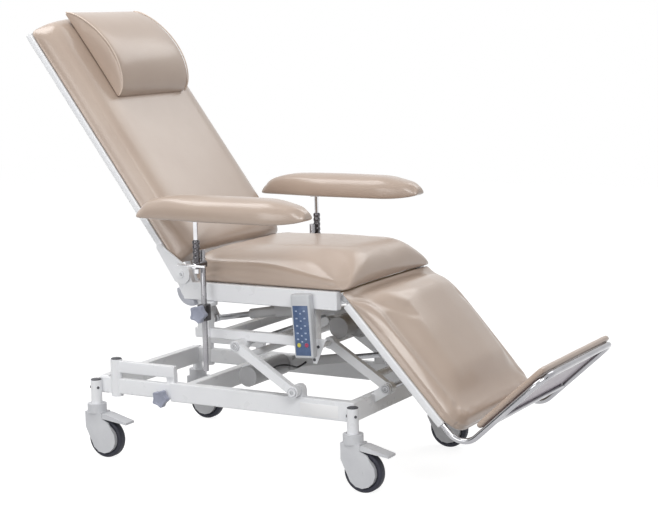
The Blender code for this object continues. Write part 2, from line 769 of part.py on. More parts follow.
def pin(name, frame, x, z, half_length):
    """Through shaft along Y with a head at each end."""
    end = half_length + PIN_HEAD_T
    heads = both_sides(lambda side: [across(x, z, *span(side, half_length, end), PIN_HEAD_R)])
    reach = half_length + SHAFT_LAP
    fuse(name, frame, steel, [across(x, z, -reach, reach, PIN_R), *heads])


# Lift frame and seat frame, one rigid body
def build_seat(rear):
    seat = joint_frame("lift_frame_pivot", (REAR_TOP_X, 0, PIVOT_TOP_Z), None)
    seat.empty.parent = rear.empty
    seat.empty.location = seat.at - rear.at

    def beam(side):
        low, high = span(side, BEAM_IN, BEAM_OUT)
        shapes = [box((BEAM_REAR, low, BEAM_LOW), (BEAM_FRONT, high, BEAM_TOP), TUBE_ROUND)]
        for x in (REAR_TOP_X, FRONT_TOP_X):
            hang = link_outline((x, BEAM_LOW + BEAM_H / 2), (x, PIVOT_TOP_Z), LUG_EYE_R)
            shapes.append(side_plate(hang, low + WELD, high - WELD))
        foot_low, foot_high = span(side, UPRIGHT_IN, UPRIGHT_OUT)
        for x in UPRIGHT_X:
            shapes.append(box((x, foot_low, BEAM_TOP - UPRIGHT_SINK),
                              (x + UPRIGHT_L, foot_high, SEAT_LOW - SEAT_GAP)))
        return shapes

    half = BEAM_TIE_W / 2
    ties = []
    for x in BEAM_TIE_X:
        ties.append(box((x - half, -BEAM_Y, BEAM_TIE_LOW), (x + half, BEAM_Y, BEAM_TIE_LOW + BEAM_TIE_W)))
    lug_root = (BEAM_TIE_X[1], BEAM_TIE_LOW + half)
    leg_lugs = lug_pair(LEG_DRIVE_Y, lug_root, LEG_DRIVE_REAR, DRIVE_EYE_R, DRIVE_EYE_R)
    front_shaft = across(FRONT_TOP_X, PIVOT_TOP_Z, -BEAM_Y, BEAM_Y, PIN_R)
    shaft_bore = across(REAR_TOP_X, PIVOT_TOP_Z, -TRACK, TRACK, PIN_R + SEAT_GAP)
    fuse("lift_frame", seat, white, [*both_sides(beam), *ties, *leg_lugs, front_shaft], [shaft_bore])
    pin("rear_upper_shaft", seat, REAR_TOP_X, PIVOT_TOP_Z, REAR_ARM_OUT + SEAT_GAP)

    def rail(side):
        low, high = span(side, SEAT_IN, SEAT_OUT)
        ear_root = (BACK_HINGE_X + HINGE_EAR_X, SEAT_TOP - HINGE_EAR_DROP)
        ear = link_outline(ear_root, BACK_HINGE, HINGE_EAR_R)
        leg_ear = link_outline((SEAT_FRONT - LEG_EAR_X, SEAT_LOW + LEG_EAR_Z), LEG_HINGE, LEG_EAR_R)
        ear_low, ear_high = span(side, SEAT_IN + HINGE_EAR_INSET, SEAT_OUT - WELD)
        leg_low, leg_high = span(side, LEG_EAR_FACE, SEAT_IN + LEG_EAR_LAP)
        return [box((SEAT_REAR, low, SEAT_LOW), (SEAT_FRONT, high, SEAT_TOP), TUBE_ROUND),
                side_plate(ear, ear_low, ear_high),
                side_plate(leg_ear, leg_low, leg_high)]

    tie_top = SEAT_TOP - BOARD_T - SEAT_GAP
    reach = SEAT_IN + TIE_LAP
    half = SEAT_TIE_W / 2
    seat_ties = []
    for x in SEAT_TIE_X:
        seat_ties.append(box((x - half, -reach, tie_top - SEAT_TIE_H), (x + half, reach, tie_top)))
    lug_root = (SEAT_TIE_X[1], tie_top - SEAT_TIE_H / 2)
    drive_lugs = lug_pair(BACK_DRIVE_Y, lug_root, BACK_DRIVE_REAR, DRIVE_EYE_R, DRIVE_EYE_R)
    pin_root, pin_end = SEAT_IN + SEAT_RAIL_W / 2, HINGE_PLATE_OUT + SEAT_GAP
    pins = both_sides(lambda side: stub_pin(side, *BACK_HINGE, pin_root, pin_end))
    shaft_bore = across(*LEG_HINGE, -TRACK, TRACK, PIN_R + SEAT_GAP)
    fuse("seat_frame", seat, white, [*both_sides(rail), *seat_ties, *drive_lugs, *pins], [shaft_bore])

    edge = LEG_EAR_FACE - SEAT_GAP
    board_rear, board_front = SEAT_PAD_REAR + SEAT_BOARD_REAR, LEG_HINGE_X - SEAT_BOARD_FRONT
    fuse("seat_board", seat, plywood,
         [box((board_rear, -edge, SEAT_TOP - BOARD_T), (board_front, edge, SEAT_TOP))])

    def seat_form(s, t, h, size):
        length, width, _ = size
        along = (s + 1) / 2
        thick = SEAT_PAD_T_REAR + (SEAT_PAD_T_FRONT - SEAT_PAD_T_REAR) * smooth(along, 0.0, 0.75)
        ends = 0.12 * smooth(along, 0.86, 1.0) + 0.06 * (1 - smooth(along, 0.0, 0.1))
        crown = 1 - ends - 0.16 * abs(t) ** 3
        corner = 1 - SEAT_CORNER_DROP * smooth(abs(t), 0.5, 1.0) * smooth(along, 0.7, 1.0)
        half = width / 2 - drawn_in(s, h, SIDE_PULL)
        x = SEAT_PAD_REAR + length * along - SEAT_FRONT_PULL * h * smooth(along, 0.9, 1.0)
        return x, half * t, SEAT_TOP + SEAT_GAP + thick * h * corner * (crown if h > 0.9 else 0.86)

    rows = ((-0.9, -0.45, 0.0, 0.5, 0.9), (-0.9, -0.55, 0.0, 0.55, 0.9), (-0.5, 0.7))
    pad_size = (SEAT_PAD_FRONT - SEAT_PAD_REAR, CUSHION_W, SEAT_PAD_T_FRONT)
    cushion("seat_cushion", seat, vinyl, pad_size, rows, seat_form)
    return seat


# Backrest: frame with its drive lever, board, cushion and head pillow
def build_back(seat):
    back = joint_frame("back_pivot", (BACK_HINGE_X, 0, BACK_HINGE_Z), seat, BACK_INCLINE_DEG, local=True)
    top = -BACK_RAIL_DROP
    low_z = top - BACK_RAIL_H
    mid_z = top - BACK_RAIL_H / 2
    rail_out = SEAT_OUT - FRAME_REVEAL
    rail_in = rail_out - BACK_RAIL_W

    def side_member(side):
        low, high = span(side, rail_in, rail_out)
        strap_low, strap_high = span(side, rail_out - STRAP_LAP, HINGE_PLATE_OUT)
        strap_start = (-BACK_START - STRAP_FROM, mid_z)
        strap_r = BACK_RAIL_H / 2 - WELD
        strap = link_outline(strap_start, (-BACK_START - STRAP_TO, mid_z), strap_r)
        plate = link_outline(strap_start, (0, 0), strap_r, HINGE_PLATE_R)
        return [box((-BACK_LENGTH, low, low_z), (-BACK_START, high, top), TUBE_ROUND),
                side_plate(strap, strap_low, strap_high),
                side_plate(plate, *span(side, HINGE_PLATE_IN, HINGE_PLATE_OUT))]

    reach = rail_in + TIE_LAP
    tie_top = top - BOARD_T - SEAT_GAP
    half = FRAME_TIE_W / 2
    ties = [box((-x - half, -reach, low_z + WELD), (-x + half, reach, tie_top)) for x in BACK_TIES]
    lever_root = (-BACK_TIES[0], tie_top - WELD - LEVER_ROOT_R)
    lever = lug_pair(BACK_DRIVE_Y, lever_root, BACK_LEVER, LEVER_ROOT_R, DRIVE_EYE_R)
    bores = [across(0, 0, -TRACK, TRACK, PIN_R + RUN_GAP)]
    fuse("back_frame", back, white, [*both_sides(side_member), *ties, *lever], bores)

    edge = rail_in - SEAT_GAP
    fuse("back_board", back, plywood,
         [box((-BACK_LENGTH + BACK_BOARD_TOP, -edge, top - BOARD_T),
              (-BACK_START - BACK_BOARD_LOW, edge, top))])

    def back_form(s, t, h, size):
        length, width, thick = size
        crown = 1 - 0.26 * smooth(abs(t), 0.62, 1.0) - 0.10 * smooth(abs(s), 0.9, 1.0)
        half = width / 2 - drawn_in(s, h, SIDE_PULL * 0.7)
        lift = thick * h * (crown if h > 0.9 else 0.80)
        bow = BACK_TOP_BOW * (1 - t * t) * smooth(-s, 0.5, 1.0)
        return -BACK_START - length * (1 - s) / 2 - bow, half * t, top + SEAT_GAP + lift

    rows = ((-0.94, -0.5, 0.0, 0.5, 0.94), (-0.9, -0.62, 0.0, 0.62, 0.9), (-0.6, 0.75))
    pad_size = (BACK_LENGTH - BACK_START, CUSHION_W, BACK_PAD_T)
    cushion("back_cushion", back, vinyl, pad_size, rows, back_form)

    rest = top + BACK_PAD_T + 2 * SEAT_GAP

    def pillow_form(s, t, h, size):
        length, width, thick = size
        along = (s + 1) / 2
        dome = math.sin(math.pi * min(along * 0.86 + 0.07, 1.0)) ** 0.55
        belly = 1 - 0.10 * smooth(abs(t), 0.8, 1.0)
        half = width / 2 - PILLOW_PULL * (1 - s * s)
        return -HEAD_PAD_TOP + length * along, half * t, rest + thick * h * dome * belly

    rows = ((-0.9, -0.45, 0.0, 0.45, 0.9), (-0.93, 0.0, 0.93), (-0.2, 0.8))
    cushion("head_pillow", back, vinyl, (HEAD_PAD_L, HEAD_PAD_W, HEAD_PAD_T), rows, pillow_form)


# Leg rest, and the foot rest that slides in its rails
def build_leg(seat):
    leg = joint_frame("leg_pivot", (LEG_HINGE_X, 0, LEG_HINGE_Z), seat, LEG_DROP_DEG, local=True)
    top = LEG_RAIL_H / 2
    rail_out = SEAT_OUT - FRAME_REVEAL
    rail_in = rail_out - LEG_RAIL_W
    rail_mid = rail_in + LEG_RAIL_W / 2
    ear_out = LEG_EAR_FACE - RUN_GAP
    ear_in = ear_out - LEG_EAR_T

    def side_member(side):
        low, high = span(side, rail_in, rail_out)
        ear_low, ear_high = span(side, ear_in, ear_out)
        ear = link_outline((0, 0), (LEG_TIES[0], 0), LEG_EAR_R, LEG_EAR_END_R)
        return [box((LEG_START, low, -top), (LEG_LENGTH, high, top), TUBE_ROUND),
                side_plate(ear, ear_low, ear_high)]

    reach = rail_in + TIE_LAP
    tie_top = top - BOARD_T - SEAT_GAP
    half = FRAME_TIE_W / 2
    ties = [box((x - half, -reach, WELD - top), (x + half, reach, tie_top)) for x in LEG_TIES]
    lug_root = (LEG_TIES[1], tie_top - WELD - LEVER_ROOT_R)
    drive_lugs = lug_pair(LEG_DRIVE_Y, lug_root, LEG_LUG, LEVER_ROOT_R, DRIVE_EYE_R)
    sockets = []
    grip_start = LEG_LENGTH - FOOT_GRIP
    for y in (-rail_mid, rail_mid):
        sockets.append(rod((grip_start - FOOT_SOCKET_ROOM, y, 0), (LEG_LENGTH + FOOT_SOCKET_ROOM, y, 0),
                           FOOT_TUBE_R + RUN_GAP))
    hinge_bore = across(0, 0, -TRACK, TRACK, PIN_R + RUN_GAP)
    fuse("leg_frame", leg, white, [*both_sides(side_member), *ties, *drive_lugs], [*sockets, hinge_bore])
    pin("leg_hinge_shaft", seat, *LEG_HINGE, SEAT_IN + LEG_EAR_LAP + SEAT_GAP)

    edge = ear_in - SEAT_GAP
    fuse("leg_board", leg, plywood,
         [box((LEG_PAD_START, -edge, top - BOARD_T), (LEG_LENGTH - LEG_BOARD_END, edge, top))])

    def leg_form(s, t, h, size):
        length, width, thick = size
        along = (s + 1) / 2
        ends = 0.30 * (1 - smooth(along, 0.0, 0.16)) + 0.16 * smooth(along, 0.74, 1.0)
        crown = 1 - ends - 0.14 * abs(t) ** 4
        half = width / 2 - drawn_in(s, h, SIDE_PULL * 1.2)
        lift = thick * h * (crown if h > 0.9 else 0.72)
        return LEG_PAD_START + length * along, half * t, top + SEAT_GAP + lift

    rows = ((-0.93, -0.6, -0.1, 0.45, 0.93), (-0.9, -0.55, 0.0, 0.55, 0.9), (-0.5, 0.7))
    pad_size = (LEG_PAD_END - LEG_PAD_START, CUSHION_W, LEG_PAD_T)
    cushion("leg_cushion", leg, vinyl, pad_size, rows, leg_form)
    corner_y, corner_z = rail_mid - FOOT_TOP_BEND, FOOT_HEIGHT - FOOT_TOP_BEND

    def half_loop(side):
        y = side * rail_mid
        turn = arc((FOOT_CORNER - FOOT_BEND, FOOT_BEND), FOOT_BEND, -90, 0, 6)
        top_turn = arc((corner_y, corner_z), FOOT_TOP_BEND, 0, 90, 5)
        bend = [(x, y, z) for x, z in turn]
        corner = [(FOOT_CORNER, side * reach_y, z) for reach_y, z in top_turn]
        return [(grip_start, y, 0), (LEG_LENGTH, y, 0), *bend, *corner]

    loop = pipe(half_loop(-1) + half_loop(1)[::-1], FOOT_TUBE_R)
    bar_reach = rail_mid - FOOT_TUBE_R / 2
    bar = across(FOOT_CORNER, FOOT_BAR_Z, -bar_reach, bar_reach, FOOT_BAR_R)
    fuse("footrest_tube", leg, chrome, [loop, bar])

    panel_high = FOOT_CORNER - FOOT_BAR_R - SEAT_GAP
    panel_r = FOOT_TOP_BEND - FOOT_TUBE_R - FOOT_PANEL_ROOM
    panel_low = FOOT_PAD_LOW + FOOT_PANEL_LIFT
    outline = [(-corner_y - panel_r, panel_low), (corner_y + panel_r, panel_low),
               *arc((corner_y, corner_z), panel_r, 0, 90, 5),
               *arc((-corner_y, corner_z), panel_r, 90, 180, 5)]
    fuse("footrest_panel", leg, panel_lilac, [front_plate(outline, panel_high - FOOT_PANEL_T, panel_high)])

    face = panel_high - FOOT_PANEL_T - SEAT_GAP
    lie_down = Matrix.Translation((face, 0, 0)) @ Matrix.Rotation(-math.pi / 2, 4, "Y")

    def foot_form(s, t, h, size):
        length, width, thick = size
        crown = 1 - 0.22 * smooth(abs(t), 0.8, 1.0) - 0.22 * smooth(abs(s), 0.8, 1.0)
        return FOOT_PAD_LOW + length * (s + 1) / 2, width / 2 * t, thick * h * crown

    rows = ((-0.93, 0.0, 0.93), (-0.96, 0.0, 0.96), (0.0,))
    pad_size = (FOOT_HEIGHT + FOOT_TUBE_R - FOOT_PAD_LOW, 2 * rail_mid, FOOT_PAD_T)
    cushion("footrest_pad", leg, vinyl, pad_size, rows, foot_form, lie_down)


# Star knob: lobed grip on a threaded stem
def star_knob(name, frame, at, direction, stem_length):
    """Knob whose stem starts at a place and whose grip lies beyond it along direction."""
    outline = []
    points_per_lobe = 4
    for step in range(KNOB_LOBES * points_per_lobe):
        angle = 2 * math.pi * step / (KNOB_LOBES * points_per_lobe)
        reach = KNOB_R * (0.90 + 0.10 * math.cos(KNOB_LOBES * angle))
        outline.append((reach * math.cos(angle), reach * math.sin(angle)))
    way = Vector(direction)
    turn = Vector((0, 0, 1)).rotation_difference(way).to_matrix().to_4x4()
    place = Vector(at)
    grip_place = Matrix.Translation(place + way * (stem_length + KNOB_T / 2)) @ turn
    grip = mesh_from_curve(outline_curve(outline, KNOB_T), grip_place)
    stem = rod(place, place + way * (stem_length + KNOB_T / 2), KNOB_STEM_R)
    fuse(name, frame, knob_grey, [grip, stem])


# Armrests: clamp on the seat rail, pole, knuckle, stem and pad
def build_arm(side, label, seat):
    y = side * POLE_Y
    clamp_top = SEAT_LOW - SEAT_GAP
    clamp_low, clamp_high = span(side, UPRIGHT_OUT + RUN_GAP, POLE_Y + CLAMP_WALL)
    knob_z = (CLAMP_LOW + SEAT_LOW) / 2
    clamp = box((POLE_X - CLAMP_L / 2, clamp_low, CLAMP_LOW),
                (POLE_X + CLAMP_L / 2, clamp_high, clamp_top), TUBE_ROUND)
    pole_bore = rod((POLE_X, y, CLAMP_LOW - BORE_PAST), (POLE_X, y, clamp_top + BORE_PAST), POLE_R + RUN_GAP)
    knob_out = y + side * (CLAMP_WALL + BORE_PAST)
    knob_bore = rod((POLE_X, y, knob_z), (POLE_X, knob_out, knob_z), KNOB_STEM_R + RUN_GAP)
    fuse(f"arm_clamp_{label}", seat, dark_steel, [clamp], [pole_bore, knob_bore])
    knob_root = (POLE_X, y + side * (POLE_R + KNOB_POLE_GAP), knob_z)
    knob = joint_frame(f"arm_knob_pivot_{label}", knob_root, seat)
    star_knob(f"arm_knob_{label}", knob, knob.at, (0, side, 0), CLAMP_WALL - POLE_R + ARM_KNOB_NECK)

    slide = joint_frame(f"arm_slide_{label}", (POLE_X, y, CLAMP_LOW), seat)
    fuse(f"arm_pole_{label}", slide, chrome, [rod((POLE_X, y, POLE_LOW), (POLE_X, y, POLE_TOP), POLE_R)])
    stem_y = side * ARM_PAD_Y
    outer_low, outer_high = span(side, POLE_Y - KNUCKLE_IN, ARM_PAD_Y + KNUCKLE_IN)
    lever_y = stem_y + side * LEVER_OUT
    lever_z = (KNUCKLE_LOW + KNUCKLE_TOP) / 2
    block = box((POLE_X - KNUCKLE_WALL, outer_low, KNUCKLE_LOW),
                (POLE_X + KNUCKLE_WALL, outer_high, KNUCKLE_TOP), TUBE_ROUND)
    sleeve = rod((POLE_X, stem_y, KNUCKLE_LOW + WELD), (POLE_X, stem_y, SLEEVE_TOP), SLEEVE_R)
    lever_rear, lever_front = POLE_X - LEVER_REAR, POLE_X + LEVER_FRONT
    lever = rod((lever_rear, lever_y, lever_z), (lever_front, lever_y, lever_z), LEVER_R, 10)
    bores = []
    for bore_y, radius in ((y, POLE_R + SEAT_GAP), (stem_y, ARM_STEM_R + RUN_GAP)):
        low, high = KNUCKLE_LOW - BORE_PAST, SLEEVE_TOP + BORE_PAST
        bores.append(rod((POLE_X, bore_y, low), (POLE_X, bore_y, high), radius))
    fuse(f"arm_knuckle_{label}", slide, dark_steel, [block, sleeve, lever], bores)

    turn = joint_frame(f"arm_swivel_{label}", (POLE_X, stem_y, KNUCKLE_TOP), slide)
    stem_low = KNUCKLE_LOW - STEM_PAST
    flange_top = ARM_PAD_LOW - SEAT_GAP
    fuse(f"arm_stem_{label}", turn, chrome,
         [rod((POLE_X, stem_y, stem_low), (POLE_X, stem_y, flange_top - FLANGE_LAP), ARM_STEM_R),
          rod((POLE_X, stem_y, flange_top - FLANGE_T), (POLE_X, stem_y, flange_top), FLANGE_R, 16)])

    def pad_form(s, t, h, size):
        length, width, thick = size
        along = (s + 1) / 2
        plan = 0.46 + 0.54 * smooth(along, 0.0, 0.30) - 0.44 * smooth(along, 0.80, 1.0)
        ends = 0.30 * (1 - smooth(along, 0.0, 0.16)) + 0.24 * smooth(along, 0.84, 1.0)
        crown = 1 - ends - 0.16 * t * t
        half = width / 2 * plan
        return (ARM_PAD_REAR + length * along, side * ARM_PAD_Y + half * t,
                ARM_PAD_LOW + thick * h * (crown if h > 0.9 else 0.8 * crown + 0.1))

    rows = ((-0.92, -0.5, 0.2, 0.65, 0.92), (-0.8, 0.0, 0.8), (0.2,))
    pad_size = (ARM_PAD_FRONT - ARM_PAD_REAR, ARM_PAD_W, ARM_PAD_T)
    cushion(f"arm_pad_{label}", turn, vinyl, pad_size, rows, pad_form)


# Linear actuators: gearbox with a cross motor and a tube, and the rod that slides in it
def build_drive(name, parent, plane_y, rear, front, motor_reach, motor_rise, shares):
    """Drive between two pivots in X and Z.

    motor_reach is how far the motor stands out along Y, with its sign. The shares, along the line
    between the pivots, are where the motor sits, where the tube ends and where the rod starts.
    """
    motor_share, tube_share, rod_share = shares
    across_x, across_z = front[0] - rear[0], front[1] - rear[1]
    length = math.hypot(across_x, across_z)
    turn_deg = -math.degrees(math.atan2(across_z, across_x))
    drive = joint_frame(f"{name}_drive_pivot", (rear[0], plane_y, rear[1]), parent, turn_deg, local=True)
    half = DRIVE_EYE_W / 2
    gear_x = length * motor_share
    tube_end = length * tube_share
    rod_start = length * rod_share
    motor_near = math.copysign(half, motor_reach)
    motor_ends = sorted((motor_near, motor_near + motor_reach))
    wall = half + GEAR_WALL
    housing = [
        box((gear_x - MOTOR_R, -wall, -GEAR_H / 2),
            (gear_x + MOTOR_R + GEAR_NOSE, wall, GEAR_H / 2 + motor_rise)),
        rod((DRIVE_EYE_R, 0, 0), (tube_end, 0, 0), DRIVE_TUBE_R),
        side_plate(link_outline((0, 0), (gear_x, 0), DRIVE_EYE_R), -half, half),
        across(gear_x, motor_rise, *motor_ends, MOTOR_R, 16),
    ]
    bore_start = max(rod_start - ROD_STROKE, ROD_BORE_START)
    bore = rod((bore_start, 0, 0), (tube_end + ROD_BORE_PAST, 0, 0), DRIVE_ROD_R + RUN_GAP)
    fuse(f"{name}_drive", drive, motor_grey, housing, [bore])
    neck = link_outline((length - DRIVE_EYE_R, 0), (length, 0), DRIVE_EYE_R * 0.9, DRIVE_EYE_R)
    shaft = rod((rod_start, 0, 0), (length - DRIVE_EYE_R / 2, 0, 0), DRIVE_ROD_R)
    fuse(f"{name}_drive_rod", drive, steel, [shaft, side_plate(neck, -half, half)])


def world_point(hinge, turn_deg, local):
    """Chair place in X and Z of a point written in a turned frame."""
    cosine, sine = math.cos(math.radians(turn_deg)), math.sin(math.radians(turn_deg))
    return (hinge[0] + local[0] * cosine + local[1] * sine, hinge[1] - local[0] * sine + local[1] * cosine)


def build_drives(seat):
    lift_front = (FRONT_PIVOT_X + ARM_VECTOR[0] / 2, PIVOT_Z + ARM_VECTOR[1] / 2)
    build_drive("lift", chair, LIFT_DRIVE_Y, LIFT_DRIVE_REAR, lift_front, -LIFT_MOTOR_L, LIFT_MOTOR_RISE,
                (0.24, 0.72, 0.50))
    back_front = world_point(BACK_HINGE, BACK_INCLINE_DEG, BACK_LEVER)
    build_drive("back", seat, BACK_DRIVE_Y, BACK_DRIVE_REAR, back_front, BACK_MOTOR_L, BACK_MOTOR_RISE,
                (0.20, 0.60, 0.44))
    leg_front = world_point(LEG_HINGE, LEG_DROP_DEG, LEG_LUG)
    build_drive("leg", seat, LEG_DRIVE_Y, LEG_DRIVE_REAR, leg_front, -LEG_MOTOR_L, LEG_MOTOR_RISE,
                (0.27, 0.70, 0.30))


# Control box under the seat board, and the handset on the near seat rail
def build_controls(seat):
    high = tuple(a + b for a, b in zip(BOX_LOW, BOX_SIZE))
    fuse("control_box", seat, box_dark, [box(BOX_LOW, high, TUBE_ROUND)])
    start = Vector((*CABLE_START, BOX_LOW[2] - SEAT_GAP))
    end = Vector((BEAM_TIE_X[0], CABLE_END_Y, BEAM_TIE_LOW + BEAM_TIE_W + SEAT_GAP))
    bow = Vector((0, 0, CABLE_BOW))
    route = eased_path(start, start - bow, end + bow, end, 18)
    fuse("drive_cable", seat, box_dark, [pipe(route, CABLE_R, 2)])
    width, depth, height = HANDSET_SIZE
    back_y = -SEAT_OUT - SEAT_GAP
    face_y = back_y - depth
    hook = (HANDSET_X, 0, HANDSET_Z + height)
    holder = joint_frame("handset_holder", hook, seat, HANDSET_LEAN_DEG, local=True)
    body = box((0, face_y, -height), (width, back_y, 0), TUBE_ROUND)
    key_z = KEY_Z - height
    pocket = face_y + KEY_PROUD + KEY_TRAVEL_ROOM
    pockets = []
    for share, colour, label in ((0.30, key_yellow, "yellow"), (0.70, key_red, "red")):
        x = width * share
        pockets.append(across(x, key_z, face_y - POCKET_PAST, pocket, KEY_R + RUN_GAP))
        key = across(x, key_z, face_y - KEY_PROUD, pocket - KEY_TRAVEL_ROOM, KEY_R)
        fuse(f"handset_key_{label}", holder, colour, [key])
    fuse("handset", holder, handset_grey, [body], pockets)


build_base()
for end_name, end_way in (("front", 1), ("rear", -1)):
    for side_name, side_way in (("near", -1), ("far", 1)):
        build_caster(f"{end_name}_{side_name}", end_way * FRONT_X, side_way * TRACK / 2)
lift_pivot = build_lift()
seat_frame = build_seat(lift_pivot)
build_back(seat_frame)
build_leg(seat_frame)
for arm_side, arm_label in ((-1, "near"), (1, "far")):
    build_arm(arm_side, arm_label, seat_frame)
build_drives(seat_frame)
build_controls(seat_frame)
knob_root = (BASE_KNOB_X, BASE_KNOB_SINK - RAIL_OUT, BASE_KNOB_Z)
base_knob = joint_frame("base_knob_pivot", knob_root, chair)
star_knob("base_knob", base_knob, base_knob.at, (0, -1, 0), BASE_KNOB_NECK)
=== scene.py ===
import json
import math

import bpy
from mathutils import Matrix, Vector

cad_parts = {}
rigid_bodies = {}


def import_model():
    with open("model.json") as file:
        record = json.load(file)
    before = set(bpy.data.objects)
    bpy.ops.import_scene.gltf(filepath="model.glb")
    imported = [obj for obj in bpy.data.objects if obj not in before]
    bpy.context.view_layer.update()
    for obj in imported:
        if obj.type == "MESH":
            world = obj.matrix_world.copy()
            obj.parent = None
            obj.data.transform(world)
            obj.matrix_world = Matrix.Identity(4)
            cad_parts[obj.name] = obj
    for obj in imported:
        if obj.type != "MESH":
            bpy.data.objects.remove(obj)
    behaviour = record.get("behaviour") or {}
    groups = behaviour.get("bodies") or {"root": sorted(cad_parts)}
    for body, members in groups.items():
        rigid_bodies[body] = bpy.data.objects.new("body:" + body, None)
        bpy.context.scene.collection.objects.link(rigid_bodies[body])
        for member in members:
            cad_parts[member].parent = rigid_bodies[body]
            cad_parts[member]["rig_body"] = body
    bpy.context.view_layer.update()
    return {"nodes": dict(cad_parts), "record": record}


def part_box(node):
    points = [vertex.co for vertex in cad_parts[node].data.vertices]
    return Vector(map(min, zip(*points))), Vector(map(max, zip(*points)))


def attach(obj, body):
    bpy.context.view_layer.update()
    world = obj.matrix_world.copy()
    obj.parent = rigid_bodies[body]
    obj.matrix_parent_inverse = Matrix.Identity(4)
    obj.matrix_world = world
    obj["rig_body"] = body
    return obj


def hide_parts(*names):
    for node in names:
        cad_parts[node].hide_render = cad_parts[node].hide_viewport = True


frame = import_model()
scene = bpy.context.scene
nodeSlots = {row["node"]: row["material_slot"] for row in frame["record"]["subparts"]}
print("frame loaded,", len(frame["nodes"]), "nodes")

# where the chair's own origin and its two hinges lie in the frame
chair = {
    "shiftX": -0.1907,
    "backHinge": (-0.122, 0.614), "backLean": 53.4,
    "legHinge": (0.437, 0.570), "legLean": 47.3,
}


def at(x, y, z):
    return Vector((x + chair["shiftX"], y, z))


def hingePlace(hinge, lean):
    return Matrix.Translation(at(hinge[0], 0, hinge[1])) @ Matrix.Rotation(math.radians(lean), 4, "Y")


chairPlace = Matrix.Translation(at(0, 0, 0))
backPlace = hingePlace(chair["backHinge"], chair["backLean"])
legPlace = hingePlace(chair["legHinge"], chair["legLean"])


# camera
shot = {
    "place": (2.6054, -4.4904, 1.3983), "azimuth": 29.7226, "rise": 8.1077, "roll": -1.1859,
    "lens": 91.534, "shift": (0.0014, -0.0017), "sensor": 36, "farClip": 60,
}


def setCamera():
    turn, rise, roll = (math.radians(shot[word]) for word in ("azimuth", "rise", "roll"))
    back = Vector((math.sin(turn) * math.cos(rise), -math.cos(turn) * math.cos(rise), math.sin(rise)))
    right = Vector((0, 0, 1)).cross(back).normalized()
    up = back.cross(right)
    leanRight = right * math.cos(roll) + up * math.sin(roll)
    leanUp = up * math.cos(roll) - right * math.sin(roll)
    bpy.ops.object.camera_add()
    camera = bpy.context.active_object
    turned = Matrix((leanRight, leanUp, back)).transposed().to_4x4()
    camera.matrix_world = Matrix.Translation(shot["place"]) @ turned
    camera.data.lens = shot["lens"]
    camera.data.sensor_width = shot["sensor"]
    camera.data.shift_x, camera.data.shift_y = shot["shift"]
    camera.data.clip_end = shot["farClip"]
    scene.camera = camera


setCamera()
print("camera set")


# finishes
def tone(red, green, blue):
    parts = [part / 255 for part in (red, green, blue)]
    return tuple(p / 12.92 if p < 0.04045 else ((p + 0.055) / 1.055) ** 2.4 for p in parts) + (1.0,)


def newNode(tree, kind, values=None, **settings):
    # a shader node, its settings first and then its sockets
    node = tree.nodes.new("ShaderNode" + kind)
    for word, value in settings.items():
        setattr(node, word, value)
    for socket, value in (values or {}).items():
        node.inputs[socket].default_value = value
    return node


def wire(tree, rows):
    for start, output, end, socket in rows:
        tree.links.new(start.outputs[output], end.inputs[socket])


def newGroup(name, inputs, outputs):
    group = bpy.data.node_groups.new(name, "ShaderNodeTree")
    for way, sockets in (("INPUT", inputs), ("OUTPUT", outputs)):
        for socket, kind in sockets:
            group.interface.new_socket(name=socket, in_out=way, socket_type="NodeSocket" + kind)
    return group, group.nodes.new("NodeGroupInput"), group.nodes.new("NodeGroupOutput")


def makeToneGroup():
    group, source, result = newGroup(
        "surfaceTone",
        [("Vector", "Vector"), ("Scale", "Float"), ("Light", "Color"), ("Dark", "Color"), ("Smooth", "Float"),
         ("Rough", "Float")],
        [("Color", "Color"), ("Roughness", "Float")])
    broad = newNode(group, "TexNoise", {"Detail": 5, "Roughness": 0.55})
    spread = newNode(group, "MapRange", {"From Min": 0.34, "From Max": 0.66})
    mix = newNode(group, "Mix", data_type="RGBA")
    finer = newNode(group, "Math", {1: 6.5}, operation="MULTIPLY")
    smear = newNode(group, "TexNoise", {"Detail": 4})
    gloss = newNode(group, "MapRange", {"From Min": 0.3, "From Max": 0.7})
    wire(group, (
        (source, "Vector", broad, "Vector"), (source, "Scale", broad, "Scale"),
        (broad, "Fac", spread, "Value"), (spread, "Result", mix, "Factor"),
        (source, "Light", mix, "A"), (source, "Dark", mix, "B"),
        (source, "Scale", finer, 0), (source, "Vector", smear, "Vector"),
        (finer, "Value", smear, "Scale"), (smear, "Fac", gloss, "Value"),
        (source, "Smooth", gloss, "To Min"), (source, "Rough", gloss, "To Max"),
        (mix, "Result", result, "Color"), (gloss, "Result", result, "Roughness"),
    ))
    return group


def makeGrainGroup():
    group, source, result = newGroup(
        "coverGrain", [("Vector", "Vector"), ("Cells", "Float")], [("Height", "Float")])
    cells = newNode(group, "TexVoronoi", {"Smoothness": 0.6}, feature="SMOOTH_F1")
    wander = newNode(group, "TexNoise", {"Scale": 90, "Detail": 3})
    blend = newNode(group, "Mix", {"Factor": 0.45})
    wire(group, (
        (source, "Vector", cells, "Vector"), (source, "Cells", cells, "Scale"),
        (source, "Vector", wander, "Vector"), (cells, "Distance", blend, "A"),
        (wander, "Fac", blend, "B"), (blend, "Result", result, "Height"),
    ))
    return group


def makePeelGroup():
    group, source, result = newGroup(
        "paintPeel", [("Vector", "Vector"), ("Scale", "Float")], [("Height", "Float")])
    ripple = newNode(group, "TexNoise", {"Detail": 2, "Roughness": 0.4})
    wire(group, (
        (source, "Vector", ripple, "Vector"), (source, "Scale", ripple, "Scale"),
        (ripple, "Fac", result, "Height"),
    ))
    return group


toneGroup = makeToneGroup()
grainGroup = makeGrainGroup()
peelGroup = makePeelGroup()


